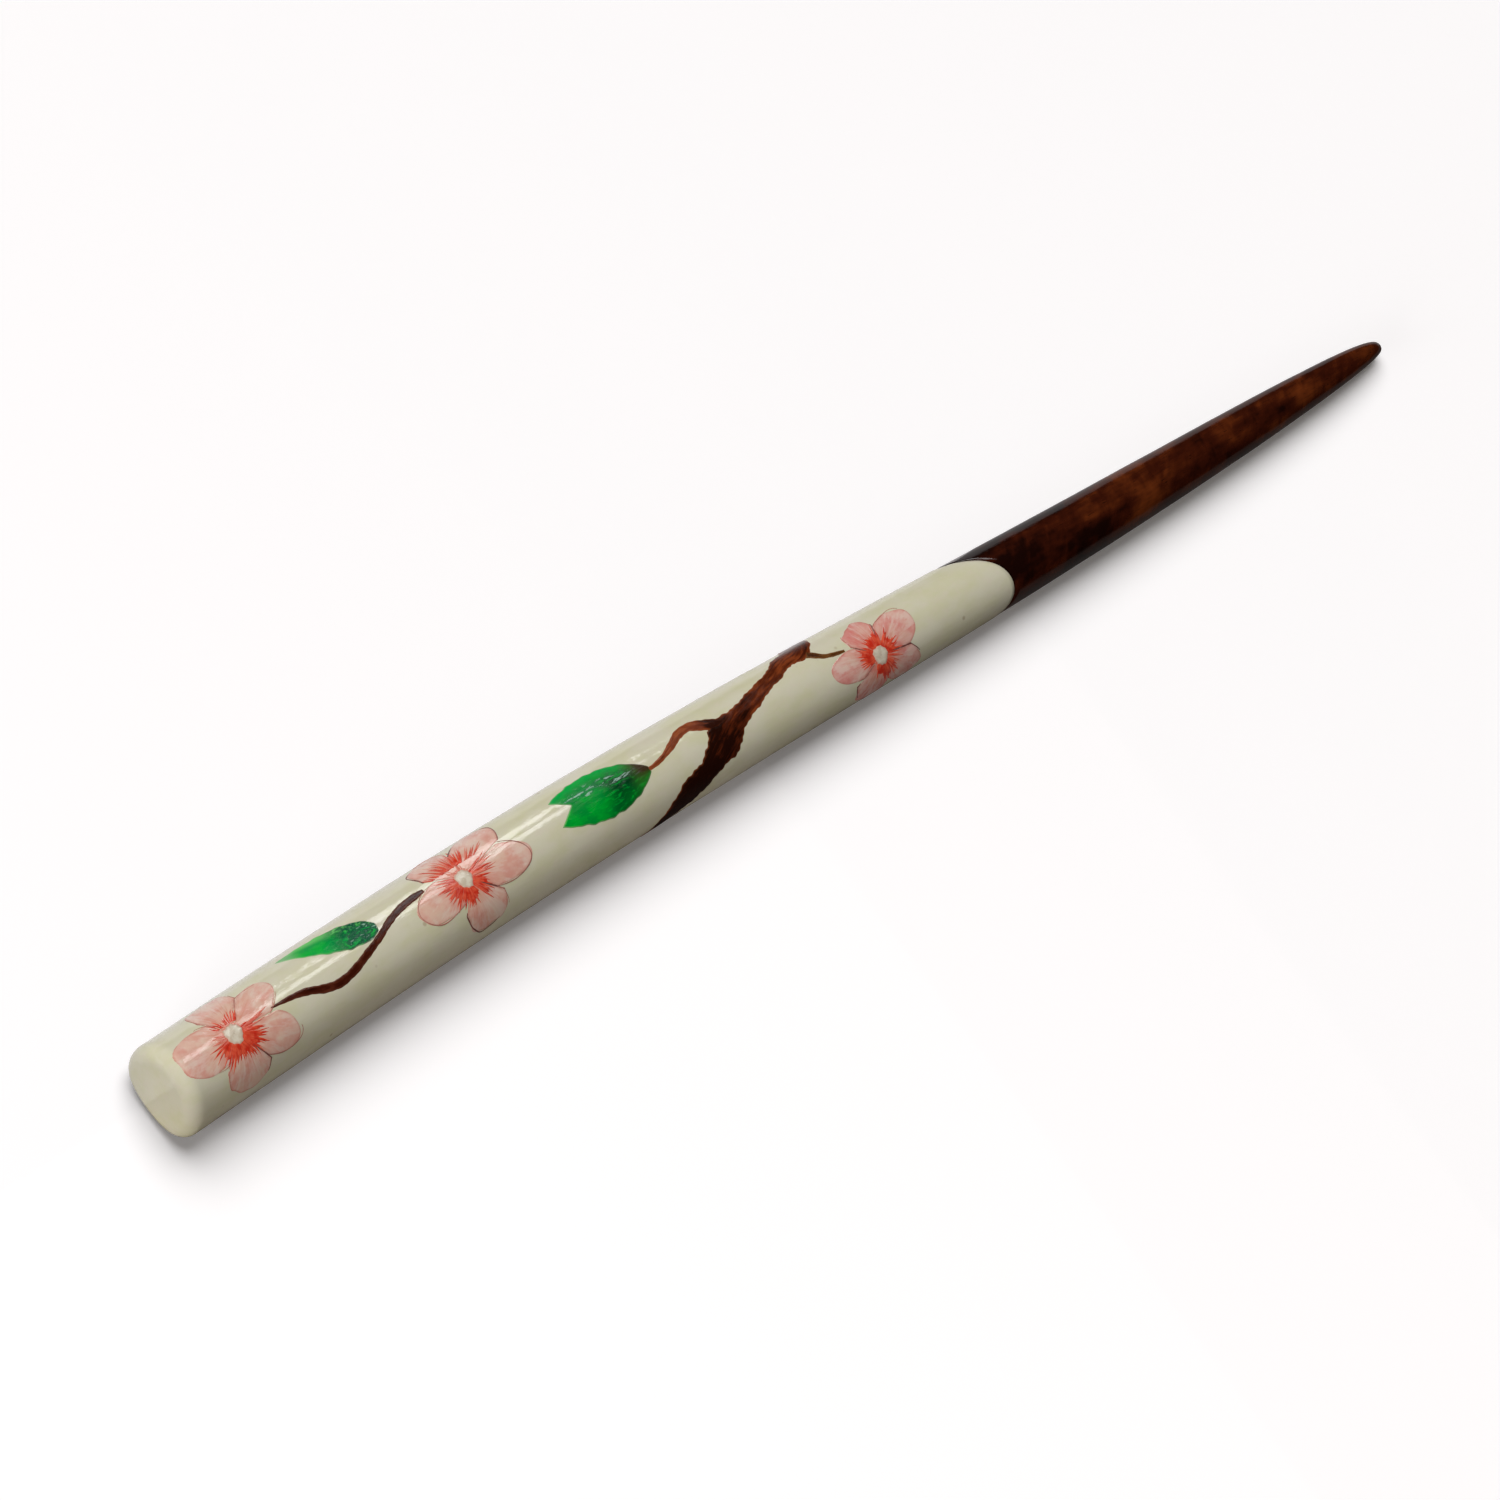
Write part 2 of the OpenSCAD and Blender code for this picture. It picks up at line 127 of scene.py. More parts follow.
# Painted strokes, as points [along, around, half width] on their middle line
STROKES = {
    "bough": [[62.4, -7.8, 0.5], [64.4, -6.2, 0.8], [66.4, -5, 1.2], [68.5, -3.95, 1.5],
              [70.5, -3.2, 1.25], [72.2, -2.3, 1.35], [74.4, -1.1, 1.9], [75.9, -0.35, 1.4],
              [77.7, 0.2, 0.92], [79.9, 0.8, 0.85], [82.3, 1.5, 0.72], [84.3, 2, 0.78],
              [86.3, 2.9, 1.02], [88, 3.15, 1.4], [89.2, 3.8, 1.65], [89.9, 5.1, 1.55],
              [90, 6.6, 1.3], [89.7, 8.1, 0.7]],
    "twig_long": [[12.6, 0.3, 0.06], [14.2, 0.15, 0.17], [15.6, 0, 0.26], [17.2, -0.35, 0.34],
                  [18.8, -0.95, 0.38], [20.6, -1.3, 0.4], [22.6, -1.1, 0.38],
                  [25, -0.45, 0.34], [27.2, 0.2, 0.3], [29.2, 0.95, 0.31], [31.2, 1.45, 0.34],
                  [33, 1.65, 0.34], [34.6, 1.7, 0.18]],
    "twig_short": [[64.3, 0.1, 0.16], [65.6, 0.2, 0.2], [67, 0.5, 0.24], [68.5, 1, 0.35],
                   [70, 1.6, 0.42], [71.4, 1.75, 0.48], [72.6, 1.35, 0.6], [73.6, 0.9, 0.6],
                   [74.7, 0.6, 0.36], [75.6, 0.45, 0.1]],
    "twig_tip": [[89, 2.15, 0.5], [89.8, 1.5, 0.34], [90.5, 1.0, 0.24], [91.6, 0.68, 0.2],
                 [93, 0.45, 0.12]],
}

SMALL_LEAF_TIP = [17, 4.5]
SMALL_LEAF_STEM = [28, 1.1]
SMALL_LEAF_HALF = 1.65
SMALL_LEAF_BLUNTNESS = 0.6
LARGE_LEAF_STEM = [64.8, 0.1]
LARGE_LEAF_NOTCH = 10.5
LARGE_LEAF_LOBE = 2.2
LARGE_LEAF_SKEW = 0.3
LARGE_LEAF_LEAN = 0.9
LARGE_LEAF_HALF = 2.65

# Lengths over which the carver's and the brush's unevenness fades out at the two ends
HEAD_FADE = 3.0
TIP_FADE = 6.0

# Fineness of the visible meshes
AROUND = 192
COATED_RINGS = 260
ROUNDED_RINGS = 22
BARE_RINGS = 170
INNER_RINGS = 30
DISC_RINGS = 6

# ---- Shape of the stick ----


def smooth(t):
    t = np.clip(t, 0, 1)
    return t * t * (3 - 2 * t)


def half_width(u):
    return HEAD_WIDTH / 2 * (1 - u) ** TAPER * (1 + BELLY * np.sin(np.pi * u))


def flatness(u):
    fade = (u - FLATNESS_FADE_START) / (FLATNESS_FADE_END - FLATNESS_FADE_START)
    return BACK_FLATNESS * (1 - smooth(fade))


def half_height(u):
    s = smooth(u)
    ratio = HEAD_HEIGHT / HEAD_WIDTH * (1 - s) + TIP_ROUNDNESS * s
    return half_width(u) * ratio / (1 - flatness(u) / 2)


def half_across(u):
    return half_width(u) / (1 + CORNER_GROWTH * flatness(u) ** 2)


def middle_y(u):
    return BOW * np.sin(np.pi * u) + BOW_SKEW * np.sin(2 * np.pi * u)


def middle_z(u):
    return half_height(u) * (1 - flatness(u)) + TIP_RISE * np.maximum(0, 2 * u - 1) ** 2


def ripple(x, angle):
    """Depth of the carver's and the brush's unevenness, always inward and under 0.03 mm."""
    long_waves = np.sin(0.31 * x + 2 * angle) + np.sin(0.53 * x - 3 * angle + 1.3)
    short_waves = np.sin(1.07 * x + 5 * angle + 0.6) + np.sin(1.9 * x - 4 * angle)
    return -0.014 + 0.0045 * long_waves + 0.002 * short_waves


def skin(x, angle, off=0.0, start=0.0, radius=EDGE_ROUND):
    """Points at distance x from the head, at an angle from the ridge, moved outward by off."""
    x, angle, off = np.broadcast_arrays(x, angle, off)
    u = np.minimum(1, x / STICK_LENGTH)
    a, b = half_across(u), half_height(u)
    squared = flatness(u) * (1 - np.cos(angle)) / 2
    turned = flatness(u) * np.sin(angle) / 2
    into_round = np.clip(radius - (x - start), 0, radius)
    drawn_in = radius - np.sqrt(radius ** 2 - into_round ** 2)
    k = 1 - drawn_in / (HEAD_WIDTH / 2)
    ty = a * (np.cos(angle) - 2 * squared * np.cos(2 * angle) - turned * np.sin(2 * angle))
    tz = -b * (np.sin(angle) + 2 * squared * np.sin(2 * angle) - turned * np.cos(2 * angle))
    n = np.maximum(np.hypot(ty, tz), 0.001)
    fade = smooth((STICK_LENGTH - x) / TIP_FADE) * smooth(x / HEAD_FADE)
    out = off + ripple(x, angle) * fade
    return np.stack([
        x,
        middle_y(u) + k * a * (np.sin(angle) - squared * np.sin(2 * angle)) - out * tz / n,
        middle_z(u) + k * b * (np.cos(angle) + squared * np.cos(2 * angle)) + out * ty / n,
    ], axis=-1)


def coat_edge(angle):
    slant = COAT_SLANT * np.cos(angle - COAT_SLANT_ANGLE)
    return COAT_LENGTH + slant + COAT_WAVE * np.sin(3 * angle)


def mean_radius(x):
    u = x / STICK_LENGTH
    return (half_across(u) + half_height(u)) / 2


angles = np.arange(AROUND) * 2 * np.pi / AROUND


def coated_rings(start, off, stations, rounded):
    """Rings from the flat end at start to the coat's edge."""
    radius = EDGE_ROUND - start
    turned = start + radius * (1 - np.cos(np.linspace(0, np.pi / 2, rounded + 1)[:-1]))
    share = np.linspace(0, 1, stations + 1)
    rings = [skin(x, angles, off, start, radius) for x in turned]
    for s in share:
        x = EDGE_ROUND + (coat_edge(angles) - EDGE_ROUND) * s
        rings.append(skin(x, angles, off, start, radius))
    return rings


def bare_rings():
    """Rings of the uncoated wood, closer together toward the tip."""
    rings = []
    for t in np.linspace(0, 1, BARE_RINGS + 1)[:-1]:
        edge = coat_edge(angles)
        x = edge + (STICK_LENGTH - edge) * (1 - (1 - t) ** (1 / TAPER))
        rings.append(skin(x, angles, -COAT_STEP * (1 - smooth(t * 3))))
    return rings


outer = coated_rings(0, 0, COATED_RINGS, ROUNDED_RINGS)
inner = coated_rings(COAT_THICKNESS, -COAT_THICKNESS, INNER_RINGS, ROUNDED_RINGS // 2)
bare = bare_rings()

coat_low = min(ring[:, 1].min() for ring in outer)
origin_shift = np.array([-STICK_LENGTH / 2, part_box("cream_coat")[0].y / MM - coat_low, 0])


def to_frame(points):
    return (np.asarray(points) + origin_shift) * MM


# ---- Meshes ----


def add_object(name, data):
    made = bpy.data.objects.new(name, data)
    bpy.context.scene.collection.objects.link(made)
    return made


def add_mesh(name, points, faces, attributes=None):
    """Closed mesh in the frame, from points in mm, with its attributes at the points."""
    mesh = bpy.data.meshes.new(name)
    mesh.from_pydata(to_frame(points).tolist(), [], faces)
    mesh.polygons.foreach_set("use_smooth", np.ones(len(faces), bool))
    for key, values in (attributes or {}).items():
        values = np.asarray(values, np.float32)
        if values.ndim == 1:
            mesh.attributes.new(key, "FLOAT", "POINT").data.foreach_set("value", values)
        else:
            layer = mesh.attributes.new(key, "FLOAT_VECTOR", "POINT")
            layer.data.foreach_set("vector", values.ravel())
    mesh.update()
    return add_object(name, mesh)


def band_faces(first, second):
    """Quads between two rings of points that start at the given indices."""
    turns = [(j, (j + 1) % AROUND) for j in range(AROUND)]
    return [(first + j, first + k, second + k, second + j) for j, k in turns]


def ring_faces(count):
    return [face for k in range(count - 1) for face in band_faces(k * AROUND, (k + 1) * AROUND)]


def closing_disc(points, faces, rim, outward):
    """Closes a ring of points that starts at index rim, with smaller rings and a middle point."""
    ring = points[rim:rim + AROUND]
    middle = ring.mean(axis=0)
    last = rim
    for i in range(1, DISC_RINGS):
        smaller = middle + (ring - middle) * (1 - i / DISC_RINGS)
        new = len(points)
        points = np.vstack([points, smaller])
        faces += band_faces(new, last) if outward else band_faces(last, new)
        last = new
    points = np.vstack([points, middle])
    top = len(points) - 1
    for j in range(AROUND):
        a, b = last + j, last + (j + 1) % AROUND
        faces.append((top, b, a) if outward else (top, a, b))
    return points, faces


def make_cream_coat():
    rings = outer + inner[::-1]
    points = np.vstack(rings)
    faces = ring_faces(len(rings))
    points, faces = closing_disc(points, faces, 0, True)
    points, faces = closing_disc(points, faces, (len(rings) - 1) * AROUND, False)
    return add_mesh("coat", points, faces)


def make_wood_shaft():
    rings = inner + bare
    points = np.vstack(rings)
    faces = ring_faces(len(rings))
    points, faces = closing_disc(points, faces, 0, True)
    tip = [STICK_LENGTH, middle_y(1.0), middle_z(1.0)]
    points = np.vstack([points, tip])
    last = (len(rings) - 1) * AROUND
    faces += [(last + j, last + (j + 1) % AROUND, len(points) - 1) for j in range(AROUND)]
    return add_mesh("shaft", points, faces)


# ---- Layers of paint ----

PAINT_DEPTH = 0.06      # how far a layer's closed underside lies inside the coat
PAINT_FEATHER = 0.13    # width over which a layer thins out at its rim
RIM_DEPTH = 0.008       # how far the rim of a layer lies inside the coat


def on_stick(places, off):
    """Points on the painting for places [..., 2], raised by off."""
    x = places[..., 0]
    return skin(x, places[..., 1] / mean_radius(x), off)


def rim_distance(places, rim):
    """Distance in mm from each place to the nearest place of the rim."""
    flat = places.reshape(-1, 1, 2)
    nearest = np.full(len(flat), 1e9)
    for part in np.array_split(rim, max(1, len(rim) // 40)):
        nearest = np.minimum(nearest, np.linalg.norm(flat - part[None], axis=2).min(axis=1))
    return nearest.reshape(places.shape[:2])


def grid_faces(rows, cols, wrapped, base, upward):
    faces = []
    for i in range(rows - 1):
        for j in range(cols if wrapped else cols - 1):
            a = base + i * cols + j
            b = base + i * cols + (j + 1) % cols
            quad = (a, b, b + cols, a + cols)
            faces.append(quad if upward else quad[::-1])
    return faces


def paint_arrays(places, height, ray, wrapped=False, feather=PAINT_FEATHER, upward=True, level=0.0):
    """Points, faces and attributes of one closed layer of paint over a grid of places."""
    rows, cols = places.shape[:2]
    if wrapped:
        rims = [places[-1]]
    else:
        rims = [places[0], places[-1], places[:, 0], places[:, -1]]
    edge = rim_distance(places, np.vstack(rims))
    feather = min(feather, 0.7 * edge.max())
    off = level - RIM_DEPTH + (height + RIM_DEPTH) * smooth(edge / feather)
    top = on_stick(places, off).reshape(-1, 3)
    under = on_stick(places, np.full(off.shape, -PAINT_DEPTH)).reshape(-1, 3)
    count = rows * cols
    faces = grid_faces(rows, cols, wrapped, 0, upward)
    faces += grid_faces(rows, cols, wrapped, count, not upward)
    if wrapped:
        loops = [list(range(cols)), list(range((rows - 1) * cols, count))[::-1]]
    else:
        loops = [list(range(cols))
                 + [i * cols + cols - 1 for i in range(1, rows)]
                 + [(rows - 1) * cols + j for j in range(cols - 2, -1, -1)]
                 + [i * cols for i in range(rows - 2, 0, -1)]]
    for loop in loops:
        for a, b in zip(loop, loop[1:] + loop[:1]):
            quad = (b, a, a + count, b + count)
            faces.append(quad if upward else quad[::-1])
    flat_places = np.pad(places.reshape(-1, 2), ((0, 0), (0, 1)))
    return np.vstack([top, under]), faces, {
        "place": np.vstack([flat_places, flat_places]),
        "ray": np.vstack([ray.reshape(-1, 3), ray.reshape(-1, 3)]),
        "edge": np.concatenate([edge.ravel(), edge.ravel()]),
    }


def paint_piece(name, layers):
    """One piece from several closed layers of paint."""
    points, faces, attributes, start = [], [], {}, 0
    for layer_points, layer_faces, layer_attributes in layers:
        points.append(layer_points)
        faces += [tuple(i + start for i in face) for face in layer_faces]
        for key, values in layer_attributes.items():
            attributes.setdefault(key, []).append(values)
        start += len(layer_points)
    joined = {key: np.concatenate(values) for key, values in attributes.items()}
    return add_mesh(name, np.vstack(points), faces, joined)


# ---- Blossoms ----

PETAL_ROWS = 34
PETAL_COLUMNS = 52
PETAL_HEIGHT = 0.02
PETAL_SCALE = 0.68
PETAL_ROUNDING = (2.4, 0.56)
PETAL_GAP = 0.03
PETAL_SPREAD = 56       # most degrees that a petal reaches to either side of its direction
CORNER_ROUNDING = 0.16  # how far the outer corners of a wide petal are drawn in
FLARE_HEIGHT = 0.012
FLARE_LEVEL = 0.022
CENTRE_HEIGHT = 0.07


def petal_reach(petal, angle):
    pull = np.abs(PETAL_SCALE * petal[1] / petal[2] * np.tan(angle)) ** PETAL_ROUNDING[0]
    return petal[1] / (np.cos(angle) * (1 + pull) ** PETAL_ROUNDING[1])


def side_limit(petals, i, step):
    """Degrees from a petal's direction to the line between it and the next one."""
    n = len(petals)
    turn = -360 if i + step < 0 else 360 if i + step >= n else 0
    halfway = (petals[(i + step) % n][0] + turn - petals[i][0]) / 2
    return max(-PETAL_SPREAD, min(PETAL_SPREAD, halfway))


def blossom_ray(centre, places, seed):
    """Turn in radians, distance from the blossom's centre and a seed, for every place."""
    offset = places - np.array(centre)
    turn = np.arctan2(offset[..., 1], offset[..., 0])
    return np.stack([turn, np.linalg.norm(offset, axis=-1), np.full(turn.shape, seed)], -1)


def petal_fan(blossom, i, seed, columns):
    """Angles of a petal's fan from its own direction, and its reach at each of them."""
    petals = blossom[2]
    low = math.radians(side_limit(petals, i, -1))
    high = math.radians(side_limit(petals, i, 1))
    share = 0.5 - 0.5 * np.cos(np.pi * np.linspace(0, 1, columns))
    angle = low + (high - low) * share
    wobble = 1 + 0.022 * np.sin(9 * angle + seed * 2.1) + 0.014 * np.sin(17 * angle + seed)
    wide = np.clip((petals[i][2] / petals[i][1] - 0.35) / 0.2, 0, 1)
    wobble = wobble * (1 - CORNER_ROUNDING * wide * smooth((np.abs(2 * share - 1) - 0.6) / 0.4))
    return share, angle, np.maximum(blossom[1] + 0.4, petal_reach(petals[i], angle) * wobble)


def fan_places(centre, direction, angle, radius, side):
    turn = math.radians(direction) + angle
    return np.stack([centre[0] + radius * np.cos(turn) - side * np.sin(turn),
                     centre[1] + radius * np.sin(turn) + side * np.cos(turn)], axis=-1)


def make_petal(name, blossom, i, seed):
    centre, dot, petals = blossom
    base = dot * 0.7
    share, angle, reach = petal_fan(blossom, i, seed, PETAL_COLUMNS)
    out = 1 - (1 - np.linspace(0, 1, PETAL_ROWS)) ** 1.5
    radius = base + (reach[None, :] - base) * out[:, None]
    side = (1 - 2 * share[None, :]) * PETAL_GAP / 2
    places = fan_places(centre, petals[i][0], angle[None, :], radius, side)
    points, faces, attributes = paint_arrays(
        places, PETAL_HEIGHT, blossom_ray(centre, places, seed))
    reach_share = (radius - base) / (reach[None, :] - base)
    attributes["reach"] = np.concatenate([reach_share.ravel()] * 2)
    return paint_piece(name, [(points, faces, attributes)])


def outline_line(blossom, i, seed, start, end):
    """Points along a petal's outline from start to end, drawn a little inside it."""
    centre, dot, petals = blossom
    share, angle, reach = petal_fan(blossom, i, seed, 61)
    first = np.stack([np.full(20, angle[0]), np.linspace(dot * 1.1, reach[0], 20)], -1)
    last = np.stack([np.full(20, angle[-1]), np.linspace(reach[-1], dot * 1.1, 20)], -1)
    whole = np.vstack([first, np.stack([angle, reach], -1), last])
    marks = np.concatenate([np.linspace(0, 1, 20), np.linspace(1.001, 1.999, 61),
                            np.linspace(2, 3, 20)])
    wanted = np.linspace(start, end, 40)
    angle = np.interp(wanted, marks, whole[:, 0])
    radius = np.interp(wanted, marks, whole[:, 1]) - 0.04
    return fan_places(centre, petals[i][0], angle, radius, 0.0)


def spindle(start, end, half, bend, columns=4, rows=14):
    """Places of a thin brush stroke that swells and ends in a point."""
    start, end = np.array(start), np.array(end)
    run = end - start
    side = np.array([-run[1], run[0]]) / np.linalg.norm(run)
    t = np.linspace(0, 1, rows)[:, None, None]
    across = np.linspace(-1, 1, columns + 1)[None, :, None]
    width = half * (0.12 + 0.88 * np.sin(np.pi * np.minimum(1, 0.32 + 0.68 * t)) ** 0.8)
    line = start + run * t + side * bend * np.sin(np.pi * t)
    return line + side * across * width


def ribbon(line, half, columns=4):
    """Places of a thin line that swells and thins out at both ends."""
    run = np.gradient(line, axis=0)
    side = np.stack([-run[:, 1], run[:, 0]], -1) / np.linalg.norm(run, axis=1)[:, None]
    t = np.linspace(0, 1, len(line))
    uneven = 1 + 0.2 * np.sin(23 * t + line[0, 0])
    width = half * (0.25 + 0.75 * np.sin(np.pi * t) ** 0.6) * uneven
    across = np.linspace(-1, 1, columns + 1)
    return line[:, None, :] + side[:, None, :] * (width[:, None] * across)[:, :, None]


def red_layer(centre, places, seed, strength, level, feather, wrapped=False):
    """A layer of red paint, or of brown where its strength is negative."""
    points, faces, attributes = paint_arrays(
        places, FLARE_HEIGHT, blossom_ray(centre, places, seed), wrapped, feather, False, level)
    attributes["strength"] = np.tile(np.broadcast_to(strength, places.shape[:2]).ravel(), 2)
    return points, faces, attributes


def make_flare_bed(blossom, tufts, seed):
    """The solid red around the dot, farther out and stronger under each tuft."""
    centre, dot, _ = blossom
    turn = np.linspace(0, 2 * np.pi, 97)[:-1]
    strength = np.zeros(len(turn))
    outer_reach = np.full(len(turn), dot + 0.2)
    for direction, spread, reach, _, power, *line in tufts:
        if line:
            continue
        away = np.abs((turn - math.radians(direction) + np.pi) % (2 * np.pi) - np.pi)
        near = smooth(1.25 - away / math.radians(spread))
        strength = np.maximum(strength, near * power)
        solid = (reach - dot) * 0.5 * near * smooth(2.2 * power - 1)
        outer_reach = np.maximum(outer_reach, dot + 0.2 + solid)
    outer_reach = outer_reach * (1 + 0.09 * rng.uniform(-1, 1, len(turn)))
    out = np.linspace(0, 1, 12)[:, None]
    radius = dot * 0.55 + (outer_reach[None, :] - dot * 0.55) * out
    places = fan_places(centre, 0, turn, radius, 0.0)
    return red_layer(centre, places, seed, strength, FLARE_LEVEL - 0.006, 0.12, wrapped=True)


def make_flare_strokes(blossom, tufts, seed):
    """The separate red strokes of each tuft."""
    centre, dot, _ = blossom
    layers = []
    for direction, spread, reach, number, power, *line in tufts:
        for count in range(number):
            shift = (2 * count + rng.uniform(0.5, 1.5)) / number - 1 if line else rng.uniform(-1, 1)
            angle = math.radians(direction + shift * spread)
            near = line[0] / max(0.35, math.sin(angle)) if line else dot * 0.85
            length = (near if line else 0) + reach * rng.uniform(0.6, 1.0)
            half = rng.uniform(0.07, 0.1) if line else rng.uniform(0.07, 0.15)
            heading = angle + rng.uniform(-0.1, 0.1) * (0.4 if line else 1)
            start = [centre[0] + near * math.cos(angle), centre[1] + near * math.sin(angle)]
            end = [centre[0] + length * math.cos(heading), centre[1] + length * math.sin(heading)]
            places = spindle(start, end, half, rng.uniform(-0.12, 0.12))
            level = FLARE_LEVEL + rng.uniform(0, 0.01)
            tone = power * rng.uniform(0.75, 1.0)
            layers.append(red_layer(centre, places, seed, tone, level, 0.08))
    return layers


def make_outlines(blossom, outlines, seed):
    """The fine brown lines."""
    layers = []
    for petal, start, end, half, power in outlines:
        places = ribbon(outline_line(blossom, petal, seed, start, end), half)
        layers.append(red_layer(blossom[0], places, seed, -power, FLARE_LEVEL + 0.012, 0.06))
    return layers


def make_flare(name, blossom, tufts, outlines, seed):
    bed = make_flare_bed(blossom, tufts, seed)
    strokes = make_flare_strokes(blossom, tufts, seed)
    return paint_piece(name, [bed] + strokes + make_outlines(blossom, outlines, seed))


def make_centre(name, blossom, seed):
    centre, dot, _ = blossom
    turn = np.linspace(0, 2 * np.pi, 81)[:-1]
    outline = dot * (1.08 + 0.06 * np.sin(3 * turn) + 0.05 * np.cos(5 * turn)
                     + 0.04 * np.sin(11 * turn + seed))
    out = np.linspace(0.02, 1, 16)[:, None]
    places = fan_places(centre, 0, turn, outline[None, :] * out, 0.0)
    return paint_piece(name, [paint_arrays(
        places, CENTRE_HEIGHT, blossom_ray(centre, places, seed), wrapped=True, feather=0.28,
        upward=False)])


# ---- Leaves, bough and twigs ----

LEAF_HEIGHT = 0.035
BARK_HEIGHT = 0.04
STROKE_SPREAD = 0.06    # how far a stroke's thin rim runs out past its half width


def through(points, t):
    """Smooth curve through points, at t from 0 to the number of points less one."""
    points = np.array(points, float)
    n = len(points)
    i = np.minimum(n - 2, np.floor(t).astype(int))
    f = (t - i)[:, None]
    a, b = points[np.maximum(0, i - 1)], points[i]
    c, d = points[i + 1], points[np.minimum(n - 1, i + 2)]
    cubic = c - a + f * (2 * a - 5 * b + 4 * c - d + f * (3 * (b - c) + d - a))
    return b + 0.5 * f * cubic


def grid_ray(along, across, shape, seed):
    """How far along and across the paint each place of its grid is, and a seed."""
    return np.stack([np.broadcast_to(part, shape) for part in (along[:, None], across, seed)], -1)


def make_stroke(name, path, stations, columns, seed):
    span = len(path) - 1
    t = np.linspace(0, span, stations)
    line = through(path, t)
    run = through(path, np.minimum(span, t + 0.05)) - through(path, np.maximum(0, t - 0.05))
    side = np.stack([-run[:, 1], run[:, 0]], -1) / np.linalg.norm(run[:, :2], axis=1)[:, None]
    along = np.concatenate([[0], np.cumsum(np.linalg.norm(np.diff(line[:, :2], axis=0), axis=1))])
    ragged = 1 + 0.05 * np.sin(2.9 * along + seed) + 0.04 * np.sin(6.7 * along + 2 * seed)
    across = np.linspace(-1, 1, columns)
    width = (line[:, 2] * ragged + STROKE_SPREAD)[:, None] * across[None, :]
    places = line[:, None, :2] + side[:, None, :] * width[:, :, None]
    ray = grid_ray(along, width, width.shape, seed)
    return paint_piece(name, [paint_arrays(places, BARK_HEIGHT, ray)])


def leaf_piece(name, places, s, t, seed):
    ray = grid_ray(s, t, places.shape[:2], seed)
    return paint_piece(name, [paint_arrays(places, LEAF_HEIGHT, ray)])


def make_leaf_small(name):
    s = 0.02 + 0.96 * np.linspace(0, 1, 70)
    t = np.linspace(-1, 1, 44)
    tip, stem = np.array(SMALL_LEAF_TIP), np.array(SMALL_LEAF_STEM)
    run = stem - tip
    side = np.array([-run[1], run[0]]) / np.linalg.norm(run)
    ragged = 1 + 0.035 * np.sin(31 * s) + 0.02 * np.sin(57 * s + 1)
    fullest = 1 / (1 + SMALL_LEAF_BLUNTNESS)
    profile = s * (1 - s) ** SMALL_LEAF_BLUNTNESS
    half = SMALL_LEAF_HALF * profile / (fullest * (1 - fullest) ** SMALL_LEAF_BLUNTNESS) * ragged
    places = tip + s[:, None, None] * run + side * (half[:, None] * t[None, :])[..., None]
    return leaf_piece(name, places, s, t, 1)


def make_leaf_large(name):
    s = 0.02 + 0.98 * np.linspace(1, 0, 80)
    t = np.linspace(-1, 1, 60)
    ragged = 1 + 0.02 * np.sin(37 * s) + 0.015 * np.sin(61 * s + 1)
    half = LARGE_LEAF_HALF * np.sin(np.pi * s ** 0.8 * 0.82) * ragged
    reach = LARGE_LEAF_NOTCH + LARGE_LEAF_LOBE * np.abs(t) - LARGE_LEAF_SKEW * t
    along = LARGE_LEAF_STEM[0] - s[:, None] * reach[None, :]
    around = LARGE_LEAF_STEM[1] + LARGE_LEAF_LEAN * s[:, None] + half[:, None] * t[None, :]
    return leaf_piece(name, np.stack([along, around], -1), 1 - s, t, 2)


# ---- Shader helpers ----


def srgb(red, green, blue):
    """Linear colour of 8-bit screen values."""
    values = [c / 255 for c in (red, green, blue)]
    return [c / 12.92 if c <= 0.04045 else ((c + 0.055) / 1.055) ** 2.4 for c in values] + [1.0]


def put(tree, kind, inputs=None, **settings):
    """Adds a node, with its settings, and values or links for its inputs."""
    node = tree.nodes.new("ShaderNode" + kind)
    for key, value in settings.items():
        setattr(node, key, value)
    for key, value in (inputs or {}).items():
        if isinstance(value, bpy.types.NodeSocket):
            tree.links.new(value, node.inputs[key])
        else:
            node.inputs[key].default_value = value
    return node


def read(tree, name, output="Fac"):
    return put(tree, "Attribute", attribute_name=name).outputs[output]


def ray_and_place(tree):
    return read(tree, "ray", "Vector"), read(tree, "place", "Vector")


def parts_of(tree, vector):
    """Sockets of a vector's three parts."""
    return put(tree, "SeparateXYZ", {"Vector": vector}).outputs


def sums(tree, operation, a, b=0.0):
    return put(tree, "Math", {0: a, 1: b}, operation=operation).outputs[0]


def times(tree, a, b):
    return sums(tree, "MULTIPLY", a, b)


def blend(tree, factor, a, b):
    """Mix of two colours, each a socket or 8-bit screen values."""
    a, b = [srgb(*c) if isinstance(c, tuple) else c for c in (a, b)]
    return put(tree, "Mix", {0: factor, 6: a, 7: b}, data_type="RGBA").outputs[2]


def span(tree, value, low, high, to_low=0.0, to_high=1.0, smoothly=True):
    """Value from low..high carried to to_low..to_high and kept inside."""
    kind = "SMOOTHSTEP" if smoothly else "LINEAR"
    inputs = {"Value": value, 1: low, 2: high, 3: to_low, 4: to_high}
    return put(tree, "MapRange", inputs, interpolation_type=kind).outputs["Result"]


def stretched(tree, vector, scale, offset=(0, 0, 0)):
    return put(tree, "Mapping", {"Vector": vector, "Scale": scale, "Location": offset},
               vector_type="POINT").outputs["Vector"]


